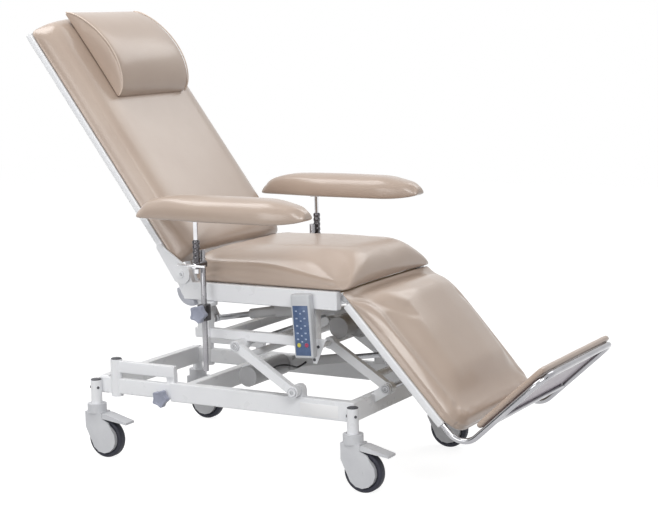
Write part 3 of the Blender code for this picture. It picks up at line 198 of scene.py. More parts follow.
def newFinish(name, look):
    material = bpy.data.materials.new(name)
    material.use_nodes = True
    tree = material.node_tree
    shader = tree.nodes["Principled BSDF"]
    shader.inputs["Metallic"].default_value = look["metal"]
    shader.inputs["Coat Weight"].default_value = look["coat"]
    shader.inputs["Coat Roughness"].default_value = look["coatRough"]
    coords = newNode(tree, "TexCoord")
    smooth, rough = look["rough"]
    shade = newNode(tree, "Group", {"Scale": look["patch"], "Light": look["light"], "Dark": look["dark"],
                                    "Smooth": smooth, "Rough": rough}, node_tree=toneGroup)
    if "cells" in look:
        relief = newNode(tree, "Group", {"Cells": look["cells"]}, node_tree=grainGroup)
    else:
        relief = newNode(tree, "Group", {"Scale": look["peel"]}, node_tree=peelGroup)
    bump = newNode(tree, "Bump", {"Strength": look["bump"], "Distance": 0.0006})
    wire(tree, (
        (coords, "Object", shade, "Vector"), (shade, "Color", shader, "Base Color"),
        (shade, "Roughness", shader, "Roughness"), (coords, "Object", relief, "Vector"),
        (relief, "Height", bump, "Height"), (bump, "Normal", shader, "Normal"),
    ))
    return material


def lookOf(light, dark, patch, rough, **more):
    return {"light": tone(*light), "dark": tone(*dark), "patch": patch, "rough": rough,
            "metal": 0.0, "coat": 0.0, "coatRough": 0.12, **more}


finishes = {
    "coverVinyl": lookOf((182, 164, 150), (177, 158, 144), 5, (0.28, 0.34),
                         coat=0.35, coatRough=0.20, cells=700, bump=0.03),
    # the welt vinyl is a lighter copy of the cover vinyl: a painted highlight along the pillow's sewn edges
    "weltVinyl": lookOf((212, 196, 183), (204, 187, 173), 8, (0.30, 0.38), cells=700, bump=0.03),
    "whiteEnamel": lookOf((240, 241, 243), (236, 237, 240), 4, (0.26, 0.34), peel=60, bump=0.02),
    "plateWhite": lookOf((246, 246, 246), (241, 241, 242), 8, (0.40, 0.50), peel=500, bump=0.02),
    "darkChrome": lookOf((112, 110, 112), (90, 88, 91), 20, (0.12, 0.22), metal=1.0, peel=300, bump=0.03),
    "chrome": lookOf((178, 178, 181), (160, 160, 164), 14, (0.08, 0.15), metal=1.0, peel=160, bump=0.02),
    "brightChrome": lookOf((226, 226, 228), (212, 212, 215), 14, (0.08, 0.16),
                           metal=1.0, peel=160, bump=0.02),
    "satinSteel": lookOf((166, 165, 168), (148, 147, 151), 18, (0.24, 0.36), metal=1.0, peel=500, bump=0.05),
    "zincSteel": lookOf((176, 177, 180), (158, 159, 162), 22, (0.28, 0.40), metal=1.0, peel=700, bump=0.08),
    "darkSteel": lookOf((96, 94, 96), (74, 72, 75), 24, (0.26, 0.42), metal=0.85, peel=600, bump=0.10),
    "paleGreyPlastic": lookOf((216, 217, 220), (205, 206, 210), 9, (0.38, 0.50), peel=900, bump=0.12),
    "blueGreyPlastic": lookOf((162, 166, 182), (150, 154, 171), 14, (0.36, 0.50), peel=900, bump=0.14),
    "tyreRubber": lookOf((44, 45, 58), (34, 35, 46), 26, (0.55, 0.72), peel=1100, bump=0.20),
    "sealedPlywood": lookOf((194, 168, 132), (180, 152, 115), 9, (0.45, 0.60), peel=300, bump=0.15),
    "lilacLaminate": lookOf((208, 197, 208), (198, 186, 199), 6, (0.30, 0.42), peel=500, bump=0.06),
    "motorGrey": lookOf((190, 190, 191), (178, 178, 180), 12, (0.36, 0.48), peel=900, bump=0.14),
    "boxBlack": lookOf((62, 62, 66), (48, 48, 52), 12, (0.40, 0.55), peel=900, bump=0.18),
    "cableBlack": lookOf((40, 40, 44), (30, 30, 33), 30, (0.42, 0.56), peel=1200, bump=0.10),
    "handsetGrey": lookOf((208, 210, 213), (198, 200, 204), 16, (0.36, 0.46), peel=1000, bump=0.10),
    "keypadBlue": lookOf((82, 103, 138), (68, 88, 124), 60, (0.34, 0.46), peel=1000, bump=0.08),
    "keyWhite": lookOf((176, 190, 214), (162, 177, 204), 60, (0.36, 0.46), peel=1000, bump=0.05),
    "bumperGrey": lookOf((190, 192, 200), (180, 182, 191), 14, (0.36, 0.50), peel=900, bump=0.10),
    "keyYellow": lookOf((214, 206, 92), (203, 194, 78), 60, (0.32, 0.42), peel=1000, bump=0.05),
    "keyRed": lookOf((178, 70, 104), (164, 58, 92), 60, (0.32, 0.42), peel=1000, bump=0.05),
    "capDark": lookOf((84, 85, 90), (68, 69, 74), 30, (0.40, 0.52), peel=900, bump=0.12),
}
for word in list(finishes):
    finishes[word] = newFinish(word, finishes[word])
print("finishes made,", len(finishes))

slotFinish = {
    "white_enamel": "whiteEnamel", "beige_vinyl": "coverVinyl", "chrome": "chrome", "dark_steel": "darkSteel",
    "zinc_steel": "zincSteel", "light_grey_plastic": "paleGreyPlastic", "tyre_rubber": "tyreRubber",
    "blue_grey_plastic": "blueGreyPlastic", "sealed_plywood": "sealedPlywood",
    "lilac_laminate": "lilacLaminate", "motor_grey": "motorGrey", "control_box_black": "boxBlack",
    "handset_grey": "handsetGrey",
    "key_yellow": "keyYellow", "key_red": "keyRed",
}


# small modelling helpers
sides = (("near", -1), ("far", 1))
upward = (0, 0, 1)
flatEnd = 0.99


def nothingSelected():
    bpy.ops.object.select_all(action="DESELECT")


def takeNew(name):
    piece = bpy.context.active_object
    piece.name = name
    piece.data.name = name
    return piece


def onlyActive(piece):
    nothingSelected()
    bpy.context.view_layer.objects.active = piece
    piece.select_set(True)


def applyModifier(piece, kind, **values):
    onlyActive(piece)
    modifier = piece.modifiers.new(kind.lower(), kind)
    for word, value in values.items():
        setattr(modifier, word, value)
    bpy.ops.object.modifier_apply(modifier=modifier.name)


def objectMode():
    bpy.ops.object.mode_set(mode="OBJECT")


def editAll(piece):
    onlyActive(piece)
    bpy.ops.object.mode_set(mode="EDIT")
    bpy.ops.mesh.select_all(action="SELECT")


def linkedPiece(name, data):
    piece = bpy.data.objects.new(name, data)
    scene.collection.objects.link(piece)
    onlyActive(piece)
    return piece


def bodyOf(node):
    return frame["nodes"][node]["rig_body"]


def bevelEdges(piece, width, segments=2, angle=40):
    applyModifier(piece, "BEVEL", width=width, segments=segments, limit_method="ANGLE",
                  angle_limit=math.radians(angle))


def smoothShade(piece, angle):
    onlyActive(piece)
    bpy.ops.object.shade_smooth_by_angle(angle=math.radians(angle))


def newCylinder(name, sides, radius, depth):
    nothingSelected()
    bpy.ops.mesh.primitive_cylinder_add(vertices=sides, radius=radius, depth=depth)
    return takeNew(name)


def placed(piece, place, angle=38):
    piece.data.transform(place)
    smoothShade(piece, angle)
    return piece


def pickFaces(piece, test):
    objectMode()
    for face in piece.data.polygons:
        face.select = bool(test(face))
    for edge in piece.data.edges:
        edge.select = False
    for vert in piece.data.vertices:
        vert.select = False
    for face in piece.data.polygons:
        if face.select:
            for index in face.vertices:
                piece.data.vertices[index].select = True
    bpy.ops.object.mode_set(mode="EDIT")
    bpy.ops.mesh.select_mode(type="FACE")


def wear(piece, body, finish):
    piece.data.materials.clear()
    piece.data.materials.append(finishes[finish])
    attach(piece, body)


def standFor(piece, node, finish=None):
    slot = nodeSlots[node]
    wear(piece, bodyOf(node), finish or slotFinish[slot])
    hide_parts(node)


def facing(x, y, z, way):
    turn = Vector(way).to_track_quat("Z", "Y").to_matrix().to_4x4()
    return Matrix.Translation(at(x, y, z)) @ turn


def outward(x, y, z, sign):
    return facing(x, sign * y, z, (0, sign, 0))


def middle(node):
    low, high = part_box(node)
    return (Vector(low) + Vector(high)) / 2 - at(0, 0, 0)


def stepEnds(piece, top, low):
    # the two flat ends stepped by insets
    for sign, steps in ((1, top), (-1, low)):
        pickFaces(piece, lambda face: face.normal.z * sign > flatEnd)
        for inward, deep in steps:
            bpy.ops.mesh.inset(thickness=inward, depth=deep)
        objectMode()


def turnedPiece(name, turned, place):
    # a disc or rod with stepped ends
    piece = newCylinder(name, turned.get("sides", 32), turned["radius"], turned["depth"])
    stepEnds(piece, turned.get("top", ()), turned.get("low", ()))
    bevelEdges(piece, turned["edge"])
    return placed(piece, place)


def addTurned(name, turned, place, body, finish):
    wear(turnedPiece(name, turned, place), body, finish)


def softBox(name, low, high, edge, place, segments=3):
    nothingSelected()
    bpy.ops.mesh.primitive_cube_add(size=1)
    piece = takeNew(name)
    size = [high[i] - low[i] for i in range(3)]
    centre = [(high[i] + low[i]) / 2 for i in range(3)]
    piece.data.transform(Matrix.Translation(centre) @ Matrix.Diagonal((*size, 1)))
    bevelEdges(piece, edge, segments)
    return placed(piece, place)


def mirroredBox(name, box, sign):
    low, high, edge = box
    span = sorted((sign * low[1], sign * high[1]))
    return softBox(name, (low[0], span[0], low[2]), (high[0], span[1], high[2]), edge, chairPlace)


def mergeDoubles(piece, reach=0.00001):
    editAll(piece)
    bpy.ops.mesh.remove_doubles(threshold=reach)
    bpy.ops.mesh.normals_make_consistent(inside=False)
    objectMode()


def tubePiece(name, points, radius, place, rings=5):
    curve = bpy.data.curves.new(name, "CURVE")
    curve.dimensions = "3D"
    curve.bevel_depth = radius
    curve.bevel_resolution = rings
    curve.use_fill_caps = True
    spline = curve.splines.new("POLY")
    spline.points.add(len(points) - 1)
    for spot, point in zip(spline.points, points):
        spot.co = (*point, 1)
    linkedPiece(name, curve)
    bpy.ops.object.convert(target="MESH")
    piece = takeNew(name)
    mergeDoubles(piece)
    return placed(piece, place)


def cutWith(piece, cutter):
    applyModifier(piece, "BOOLEAN", operation="DIFFERENCE", object=cutter, solver="EXACT")
    bpy.data.objects.remove(cutter, do_unlink=True)


def joined(name, pieces):
    nothingSelected()
    for piece in pieces:
        piece.select_set(True)
    bpy.context.view_layer.objects.active = pieces[0]
    bpy.ops.object.join()
    return takeNew(name)


# frames, arms, shafts and housings: clean copies of the solids, shaded smooth between sharp edges
copying = {"merge": 0.00002, "flat": 0.6, "sharp": 50, "weight": 80}


def cleanCopy(node):
    piece = linkedPiece(node + "Shape", frame["nodes"][node].data.copy())
    editAll(piece)
    bpy.ops.mesh.remove_doubles(threshold=copying["merge"])
    bpy.ops.mesh.dissolve_limited(angle_limit=math.radians(copying["flat"]))
    objectMode()
    bpy.ops.mesh.customdata_custom_splitnormals_clear()
    smoothShade(piece, copying["sharp"])
    applyModifier(piece, "WEIGHTED_NORMAL", keep_sharp=True, weight=copying["weight"])
    return piece


corners = ("front_near", "front_far", "rear_near", "rear_far")
copied = ["base_frame", "front_lower_shaft", "rear_lift_arms", "front_lift_arms", "rear_upper_shaft",
          "lift_frame", "seat_frame", "seat_board", "control_box", "back_frame", "back_board",
          "leg_frame", "leg_board", "leg_hinge_shaft", "footrest_panel", "lift_drive", "lift_drive_rod",
          "back_drive", "back_drive_rod", "leg_drive", "leg_drive_rod"]
for corner in corners:
    copied += ["caster_fork_" + corner, "caster_pedal_" + corner]
for node in copied:
    standFor(cleanCopy(node), node)
print("clean copies made,", len(copied))


# casters: wheels, tyres, stem caps and set screws
wheelFace = ((0.004, 0.0), (0.002, -0.0035), (0.022, -0.0005), (0.0015, 0.003), (0.006, 0.0))
caster = {
    "wheel": {"radius": 0.0464, "depth": 0.026, "sides": 48, "edge": 0.0008,
              "top": wheelFace, "low": wheelFace},
    "tyreRadius": 0.0625, "tyreWide": 0.030, "tyreBore": 0.0467, "tyreEdge": 0.0062, "tyreSides": 64,
    "tyreSegments": 4, "boreReach": 0.001, "capLift": 0.0012,
    "stemX": 0.47, "stemY": 0.29, "stemTop": 0.249,
    "cap": {"radius": 0.0168, "depth": 0.003, "edge": 0.0008, "top": ((0.003, 0.0012), (0.004, 0.0006))},
    "setScrew": {"radius": 0.0042, "depth": 0.004, "sides": 16, "edge": 0.0005,
                 "top": ((0.0012, 0.0), (0.0004, -0.0012))},
    "screwHigh": 0.226, "screwOut": 0.0182, "screwTurns": (-150, -35),
    "postX": -0.405, "postY": 0.265, "postTop": 0.318,
}


def tyrePiece(name, place):
    piece = newCylinder(name, caster["tyreSides"], caster["tyreRadius"], caster["tyreWide"])
    for sign in (1, -1):
        pickFaces(piece, lambda face: face.normal.z * sign > flatEnd)
        bpy.ops.mesh.inset(thickness=caster["tyreRadius"] - caster["tyreBore"], depth=0)
        objectMode()
    reach = caster["boreReach"]
    pickFaces(piece, lambda face: abs(face.normal.z) > flatEnd and face.center.xy.length < reach)
    bpy.ops.mesh.bridge_edge_loops()
    objectMode()
    mergeDoubles(piece)
    bevelEdges(piece, caster["tyreEdge"], caster["tyreSegments"])
    return placed(piece, place)


for corner in corners:
    hub = middle("caster_wheel_" + corner)
    hubPlace = facing(*hub, (0, -1, 0))
    standFor(turnedPiece("wheel." + corner, caster["wheel"], hubPlace), "caster_wheel_" + corner)
    standFor(tyrePiece("tyre." + corner, hubPlace), "caster_tyre_" + corner)
    stemX = caster["stemX"] if "front" in corner else -caster["stemX"]
    stemY = caster["stemY"] if "far" in corner else -caster["stemY"]
    addTurned("stemCap." + corner, caster["cap"],
              facing(stemX, stemY, caster["stemTop"] + caster["capLift"], upward),
              "base", "capDark")
    for number, turn in enumerate(caster["screwTurns"]):
        if "far" in corner:
            turn = -turn
        way = Vector((math.cos(math.radians(turn)), math.sin(math.radians(turn)), 0))
        out = way * caster["screwOut"]
        addTurned("stemScrew%d.%s" % (number, corner), caster["setScrew"],
                  facing(stemX + out.x, stemY + out.y, caster["screwHigh"], way),
                  "base", "capDark")
for side, sign in sides:
    capZ = caster["postTop"] + caster["capLift"]
    addTurned("postCap." + side, caster["cap"],
              facing(caster["postX"], sign * caster["postY"], capZ, upward), "base", "capDark")
print("casters dressed")


# star knobs: five soft points, a dished face and a neck
knob = {
    "radius": 0.0242, "swing": 0.0034, "thick": 0.019, "points": 5, "edge": 0.0022,
    "face": ((0.005, 0.0), (0.003, -0.0022)),
    "armX": -0.016, "armY": 0.3622, "armZ": 0.5075, "armNeck": ((0.0125, 0.0), (0.0004, 0.0055)),
    "baseX": -0.216, "baseY": 0.2942, "baseZ": 0.212, "baseNeck": ((0.0125, 0.0), (0.0004, 0.0100)),
    "turn": 20, "sides": 60, "second": 0.18, "rootReach": 0.010, "centreReach": 0.001,
    "segments": 3, "sharp": 50,
}


def ease(value, start, end):
    part = min(max((value - start) / (end - start), 0.0), 1.0)
    return part * part * (3 - 2 * part)


def starKnob(name, neck, place):
    piece = newCylinder(name, knob["sides"], knob["radius"], knob["thick"])
    stepEnds(piece, knob["face"], neck)
    for vert in piece.data.vertices:
        far = vert.co.xy.length
        if far < knob["centreReach"]:
            continue
        angle = math.atan2(vert.co.y, vert.co.x) * knob["points"] + math.radians(knob["turn"])
        share = ease(far, knob["rootReach"], knob["radius"])
        push = knob["swing"] * (math.cos(angle) + knob["second"] * math.cos(2 * angle)) * share
        vert.co.xy = vert.co.xy * ((far + push) / far)
    bevelEdges(piece, knob["edge"], knob["segments"])
    return placed(piece, place, knob["sharp"])


for side, sign in sides:
    grip = starKnob("armKnob." + side, knob["armNeck"],
                    outward(knob["armX"], knob["armY"], knob["armZ"], sign))
    standFor(grip, "arm_knob_" + side)
grip = starKnob("baseKnob", knob["baseNeck"],
                facing(knob["baseX"], -knob["baseY"], knob["baseZ"], (0, -1, 0)))
standFor(grip, "base_knob")
print("knobs made")


# armrest posts: satin pole, dark knuckle with a sleeve and a bright lever, chrome stem
post = {
    "x": -0.016, "poleY": 0.33, "stemY": 0.363,
    "poleLow": 0.325, "poleTop": 0.70, "poleTrim": 0.001,
    "pole": {"radius": 0.0085, "edge": 0.0012, "top": ((0.002, 0.0008),), "low": ((0.002, 0.0008),)},
    "stemTop": 0.7947, "stemSink": 0.002,
    "stem": {"radius": 0.026, "depth": 0.004, "edge": 0.0006,
             "low": ((0.0165, 0.0004), (0.0015, 0.002), (0.0001, 0.1563))},
    "block": ((-0.027, 0.318, 0.645), (-0.005, 0.376, 0.667), 0.006),
    "sleeve": {"radius": 0.0102, "depth": 0.078, "edge": 0.0010, "top": ((0.0010, 0.0004),)},
    "sleeveMiddle": 0.6935,
    "ring": {"radius": 0.0116, "depth": 0.0105, "edge": 0.0016}, "ringsAt": (0.6790, 0.6950, 0.7110, 0.7260),
    "clamp": ((-0.031, 0.314, 0.482), (-0.001, 0.347, 0.533), 0.004),
    "strap": ((-0.027, 0.2715, 0.522), (-0.005, 0.318, 0.5346), 0.0015),
    "leverY": 0.3775, "leverZ": 0.656, "leverRear": -0.077, "leverFront": 0.024, "leverTrim": 0.0012,
    "lever": {"radius": 0.004, "edge": 0.0008, "sides": 20, "top": ((0.0002, 0.0), (0.0004, 0.0012)),
              "low": ((0.0002, 0.0), (0.0004, 0.0012))},
    "hub": {"radius": 0.0085, "depth": 0.006, "edge": 0.001, "top": ((0.002, 0.0008),)}, "hubSink": 0.001,
}


def rodPiece(name, rod, low, high, trim, place):
    return turnedPiece(name, {**rod, "depth": (high - trim) - (low + trim)}, place)


def onStem(sign, z):
    return facing(post["x"], sign * post["stemY"], z, upward)


for side, sign in sides:
    poleMiddle = (post["poleLow"] + post["poleTop"]) / 2
    pole = rodPiece("armPole." + side, post["pole"], post["poleLow"], post["poleTop"], post["poleTrim"],
                    facing(post["x"], sign * post["poleY"], poleMiddle, upward))
    standFor(pole, "arm_pole_" + side, "satinSteel")
    stem = turnedPiece("armStem." + side, post["stem"], onStem(sign, post["stemTop"] - post["stemSink"]))
    standFor(stem, "arm_stem_" + side, "brightChrome")
    block = mirroredBox("armKnuckle." + side, post["block"], sign)
    standFor(block, "arm_knuckle_" + side, "darkChrome")
    clamp = mirroredBox("clamp." + side, post["clamp"], sign)
    standFor(clamp, "arm_clamp_" + side, "darkSteel")
    strap = mirroredBox("strap." + side, post["strap"], sign)
    wear(strap, "seat", "whiteEnamel")
    armBody = bodyOf("arm_knuckle_" + side)
    addTurned("armSleeve." + side, post["sleeve"], onStem(sign, post["sleeveMiddle"]),
              armBody, "darkChrome")
    rings = [turnedPiece("sleeveRing%d.%s" % (number, side), post["ring"], onStem(sign, z))
             for number, z in enumerate(post["ringsAt"])]
    wear(joined("sleeveRings." + side, rings), armBody, "darkChrome")
    leverMiddle = (post["leverRear"] + post["leverFront"]) / 2
    lever = rodPiece("armLever." + side, post["lever"], post["leverRear"], post["leverFront"],
                     post["leverTrim"],
                     facing(leverMiddle, sign * post["leverY"], post["leverZ"], (1, 0, 0)))
    wear(lever, armBody, "brightChrome")
    addTurned("leverHub." + side, post["hub"],
              outward(post["x"], post["leverY"] - post["hubSink"], post["leverZ"], sign),
              armBody, "brightChrome")
print("armrest posts made")


# handset: body, keypad with raised marks, two round keys
handset = {
    "origin": (0.280, 0, 0.580), "lean": -3.7,
    "low": (0.0, -0.3183, -0.192), "high": (0.065, -0.2903, 0.0), "edge": 0.0065,
    "padLow": (0.0065, -0.3187, -0.1835), "padHigh": (0.0585, -0.3175, -0.034), "padEdge": 0.0005,
    "keyX": (0.0195, 0.0455), "keyZ": -0.152, "keyHole": 0.0068, "holeDeep": 0.006, "holeSides": 32,
    "key": {"radius": 0.0063, "depth": 0.0046, "edge": 0.0007, "top": ((0.0016, 0.0003),)},
    "keyTop": -0.3198,
    "markX": (0.0180, 0.0450, 0.0315), "markZ": (-0.050, -0.072, -0.094, -0.116, -0.134),
    "markSize": (0.0034, 0.0005, 0.0021), "markOut": -0.3189,
    "markEdge": 0.0005, "middleDrop": 0.0075, "middleNarrow": 0.8, "keySink": 0.0003,
}
handsetTurn = Matrix.Rotation(math.radians(handset["lean"]), 4, "Y")
handsetPlace = chairPlace @ Matrix.Translation(handset["origin"]) @ handsetTurn


def keyPlace(x, y):
    turn = Matrix.Rotation(math.radians(90), 4, "X")
    return handsetPlace @ Matrix.Translation((x, y, handset["keyZ"])) @ turn


def keyCutter(x):
    cutter = newCylinder("keyCutter", handset["holeSides"], handset["keyHole"], handset["holeDeep"])
    cutter.data.transform(keyPlace(x, handset["low"][1]))
    return cutter


handsetBody = softBox("handsetBody", handset["low"], handset["high"], handset["edge"],
                      handsetPlace, segments=4)
keypad = softBox("keypad", handset["padLow"], handset["padHigh"], handset["padEdge"],
                 handsetPlace, segments=2)
for x in handset["keyX"]:
    cutWith(handsetBody, keyCutter(x))
    cutWith(keypad, keyCutter(x))
smoothShade(handsetBody, angle=40)
standFor(handsetBody, "handset")
holder = bodyOf("handset")
wear(keypad, holder, "keypadBlue")
marks = []
for row, z in enumerate(handset["markZ"]):
    for column, x in enumerate(handset["markX"]):
        wide, thick, high = handset["markSize"]
        if column == 2:
            z -= handset["middleDrop"]
            wide *= handset["middleNarrow"]
        y = handset["markOut"]
        marks.append(softBox("keyMark%d.%d" % (row, column), (x - wide, y - thick, z - high),
                             (x + wide, y + thick, z + high), handset["markEdge"], handsetPlace, segments=2))
wear(joined("keyMarks", marks), holder, "keyWhite")
for word, x in zip(("yellow", "red"), handset["keyX"]):
    keyMiddle = handset["keyTop"] + handset["key"]["depth"] / 2 + handset["keySink"]
    standFor(turnedPiece("key." + word, handset["key"], keyPlace(x, keyMiddle)), "handset_key_" + word)
print("handset made")


# foot rest: smooth bent tube and its lower bar
footLoop = {
    "start": 0.314, "half": 0.273, "corner": 0.559, "bend": 0.060, "high": 0.344, "topBend": 0.055,
    "radius": 0.009, "barHigh": 0.125, "barRadius": 0.006, "steps": 10,
}


def bendPoints(centre, start, sweep, radius, plane, steps):
    # points round a bend, in the plane of the two named axes
    points = []
    for step in range(steps + 1):
        angle = math.radians(start + sweep * step / steps)
        point = list(centre)
        point[plane[0]] += radius * math.cos(angle)
        point[plane[1]] += radius * math.sin(angle)
        points.append(tuple(point))
    return points


def footPath():
    half, corner, high = footLoop["half"], footLoop["corner"], footLoop["high"]
    bend, topBend, steps = footLoop["bend"], footLoop["topBend"], footLoop["steps"]
    leg = [(footLoop["start"], -half, 0)]
    leg += bendPoints((corner - bend, -half, bend), -90, 90, bend, (0, 2), steps)
    leg += bendPoints((corner, -half + topBend, high - topBend), 180, -90, topBend, (1, 2), steps)
    return leg + [(x, -y, z) for x, y, z in reversed(leg)]


loop = tubePiece("footLoop", footPath(), footLoop["radius"], legPlace, rings=7)
standFor(loop, "footrest_tube", "chrome")
barEnds = [(footLoop["corner"], sign * footLoop["half"], footLoop["barHigh"]) for sign in (-1, 1)]
footBar = tubePiece("footBar", barEnds, footLoop["barRadius"], legPlace)
wear(footBar, bodyOf("footrest_tube"), "chrome")
print("foot rest made")


# leads: the one from the box to the back drive, and the short loop on the lift motor
lead = {
    "start": (0.100, 0.050, 0.5347), "pull": 0.070, "end": (0.000, 0.010, 0.4413),
    "radius": 0.003, "steps": 40, "glandSink": 0.004,
    "gland": {"radius": 0.0058, "depth": 0.010, "edge": 0.0008, "low": ((0.0014, 0.0), (0.0006, 0.008))},
    "loop": ((0.066, -0.080, 0.290), (0.080, -0.078, 0.299), (0.098, -0.066, 0.302), (0.110, -0.046, 0.298),
             (0.112, -0.024, 0.290), (0.112, -0.004, 0.284), (0.118, 0.014, 0.288), (0.126, 0.030, 0.296)),
    "loopRadius": 0.0034, "loopSteps": 8,
}


def cubicPoints(first, second, third, fourth, steps):
    points = []
    for step in range(steps + 1):
        t = step / steps
        points.append(tuple((1 - t) ** 3 * first[i] + 3 * (1 - t) ** 2 * t * second[i]
                            + 3 * (1 - t) * t * t * third[i] + t ** 3 * fourth[i] for i in range(3)))
    return points


def smoothPath(knots, steps):
    # a smooth path through the knots
    points = []
    for number in range(len(knots) - 1):
        before, first = Vector(knots[max(number - 1, 0)]), Vector(knots[number])
        last, after = Vector(knots[number + 1]), Vector(knots[min(number + 2, len(knots) - 1)])
        out = first + (last - before) / 6
        into = last - (after - first) / 6
        points += cubicPoints(first, out, into, last, steps)[:-1]
    return points + [tuple(knots[-1])]


leadStart, leadEnd = Vector(lead["start"]), Vector(lead["end"])
drop = Vector((0, 0, lead["pull"]))
leadPath = cubicPoints(leadStart, leadStart - drop, leadEnd + drop, leadEnd, lead["steps"])
boxLead = tubePiece("boxLead", leadPath, lead["radius"], chairPlace)
standFor(boxLead, "drive_cable", "cableBlack")
addTurned("leadGland", lead["gland"],
          facing(leadStart.x, leadStart.y, leadStart.z - lead["glandSink"], upward),
          bodyOf("control_box"), "cableBlack")
loopPath = smoothPath(lead["loop"], lead["loopSteps"])
motorLead = tubePiece("motorLead", loopPath, lead["loopRadius"], chairPlace)
wear(motorLead, "lift_motor", "cableBlack")
print("leads made")


# fittings: pivot caps, hinge screws, rail bumpers, brackets and the blank plate
fitting = {
    "cap": {"radius": 0.0148, "depth": 0.005, "edge": 0.0008,
            "top": ((0.0030, 0.0), (0.0008, -0.0010), (0.0030, 0.0), (0.0006, 0.0012))},
    "capMiddle": {"radius": 0.0052, "depth": 0.003, "edge": 0.0006, "top": ((0.0014, 0.0004),)},
    "pivots": (("lowerRear", 0.274, 0.3086, 0.281, "base"), ("upperRear", 0.0762, 0.3086, 0.4041, "seat"),
               ("lowerFront", 0.508, 0.1540, 0.281, "base")),
    "hingeScrew": {"radius": 0.0052, "depth": 0.004, "sides": 24, "edge": 0.0006,
                   "top": ((0.0018, 0.0), (0.0005, -0.0012))},
    "boltOut": 0.002, "hingeX": -0.118, "hingeY": 0.3008, "hingeZ": 0.614,
    "bumperCentre": (-0.094, 0.565), "bumperIn": 0.0300, "bumperOut": 0.050, "bumperSteps": 16,
    "bumperLow": 0.2625, "bumperHigh": 0.2885, "bumperStart": 176, "bumperSweep": 112,
    "bumperEdge": 0.002,
    "gusset": ((0.300, 0.442), (0.372, 0.442), (0.366, 0.430),
               (0.338, 0.366), (0.326, 0.366), (0.316, 0.420)),
    "gussetIn": 0.2627, "gussetOut": 0.2667, "gussetEdge": 0.0008,
    "gussetBolts": ((0.345, 0.418), (0.331, 0.378)), "gussetBoltOut": 0.001,
    "bolt": {"radius": 0.0046, "depth": 0.003, "sides": 20, "edge": 0.0005,
             "top": ((0.0014, 0.0), (0.0005, -0.001))},
    "plateLow": (0.285, -0.2811, 0.209), "plateHigh": (0.416, -0.2799, 0.247), "plateEdge": 0.0004,
}


def platePiece(name, outline, inner, outer, edge):
    # a flat outline in the side plane, extruded to a plate
    mesh = bpy.data.meshes.new(name)
    mesh.from_pydata([(x, inner, z) for x, z in outline], [], [list(range(len(outline)))])
    piece = linkedPiece(name, mesh)
    editAll(piece)
    bpy.ops.mesh.extrude_region_move(TRANSFORM_OT_translate={"value": (0, outer - inner, 0)})
    objectMode()
    mergeDoubles(piece)
    bevelEdges(piece, edge)
    return placed(piece, chairPlace)


def bumperOutline():
    x, z = fitting["bumperCentre"]
    start, sweep, steps = (fitting["bumper" + word] for word in ("Start", "Sweep", "Steps"))
    outer = bendPoints((x, 0, z), start, sweep, fitting["bumperOut"], (0, 2), steps)
    inner = bendPoints((x, 0, z), start, sweep, fitting["bumperIn"], (0, 2), steps)
    return [(point[0], point[2]) for point in outer + inner[::-1]]


for side, sign in sides:
    for word, x, y, z, body in fitting["pivots"]:
        addTurned("pivotCap.%s.%s" % (word, side), fitting["cap"], outward(x, y, z, sign),
                  body, "paleGreyPlastic")
        addTurned("pivotBolt.%s.%s" % (word, side), fitting["capMiddle"],
                  outward(x, y + fitting["boltOut"], z, sign), body, "zincSteel")
    addTurned("hingeScrew." + side, fitting["hingeScrew"],
              outward(fitting["hingeX"], fitting["hingeY"], fitting["hingeZ"], sign),
              "seat", "zincSteel")
    bumper = platePiece("railBumper." + side, bumperOutline(), sign * fitting["bumperLow"],
                        sign * fitting["bumperHigh"], fitting["bumperEdge"])
    wear(bumper, "seat", "bumperGrey")
    gusset = platePiece("beamGusset." + side, fitting["gusset"], sign * fitting["gussetIn"],
                        sign * fitting["gussetOut"], fitting["gussetEdge"])
    wear(gusset, "seat", "whiteEnamel")
    boltY = fitting["gussetOut"] + fitting["gussetBoltOut"]
    for number, (x, z) in enumerate(fitting["gussetBolts"]):
        addTurned("gussetBolt%d.%s" % (number, side), fitting["bolt"], outward(x, boltY, z, sign),
                  "seat", "capDark")
blankPlate = softBox("blankPlate", fitting["plateLow"], fitting["plateHigh"], fitting["plateEdge"],
                     chairPlace, segments=2)
wear(blankPlate, "base", "plateWhite")
print("fittings made")


# upholstery
padding = {"crowded": 0.55, "even": 0.45, "blendEnd": 0.7, "lastFrame": 14}
clothSettings = {
    "quality": 5, "tension_stiffness": 30, "compression_stiffness": 30, "bending_stiffness": 2,
    "use_pressure": True, "vertex_group_mass": "board",
}


def edgeWise(share):
    # rows crowd towards the edges
    return padding["crowded"] * math.sin(share * math.pi / 2) + padding["even"] * share


def softBlock(name, rows):
    nothingSelected()
    bpy.ops.mesh.primitive_cube_add(size=2)
    piece = takeNew(name)
    bpy.ops.object.mode_set(mode="EDIT")
    for axis, count in enumerate(rows):
        for step in range(1, count):
            spot = [0.0, 0.0, 0.0]
            way = [0.0, 0.0, 0.0]
            spot[axis] = edgeWise(step / count * 2 - 1)
            way[axis] = 1.0
            bpy.ops.mesh.select_all(action="SELECT")
            bpy.ops.mesh.bisect(plane_co=spot, plane_no=way)
    objectMode()
    return piece


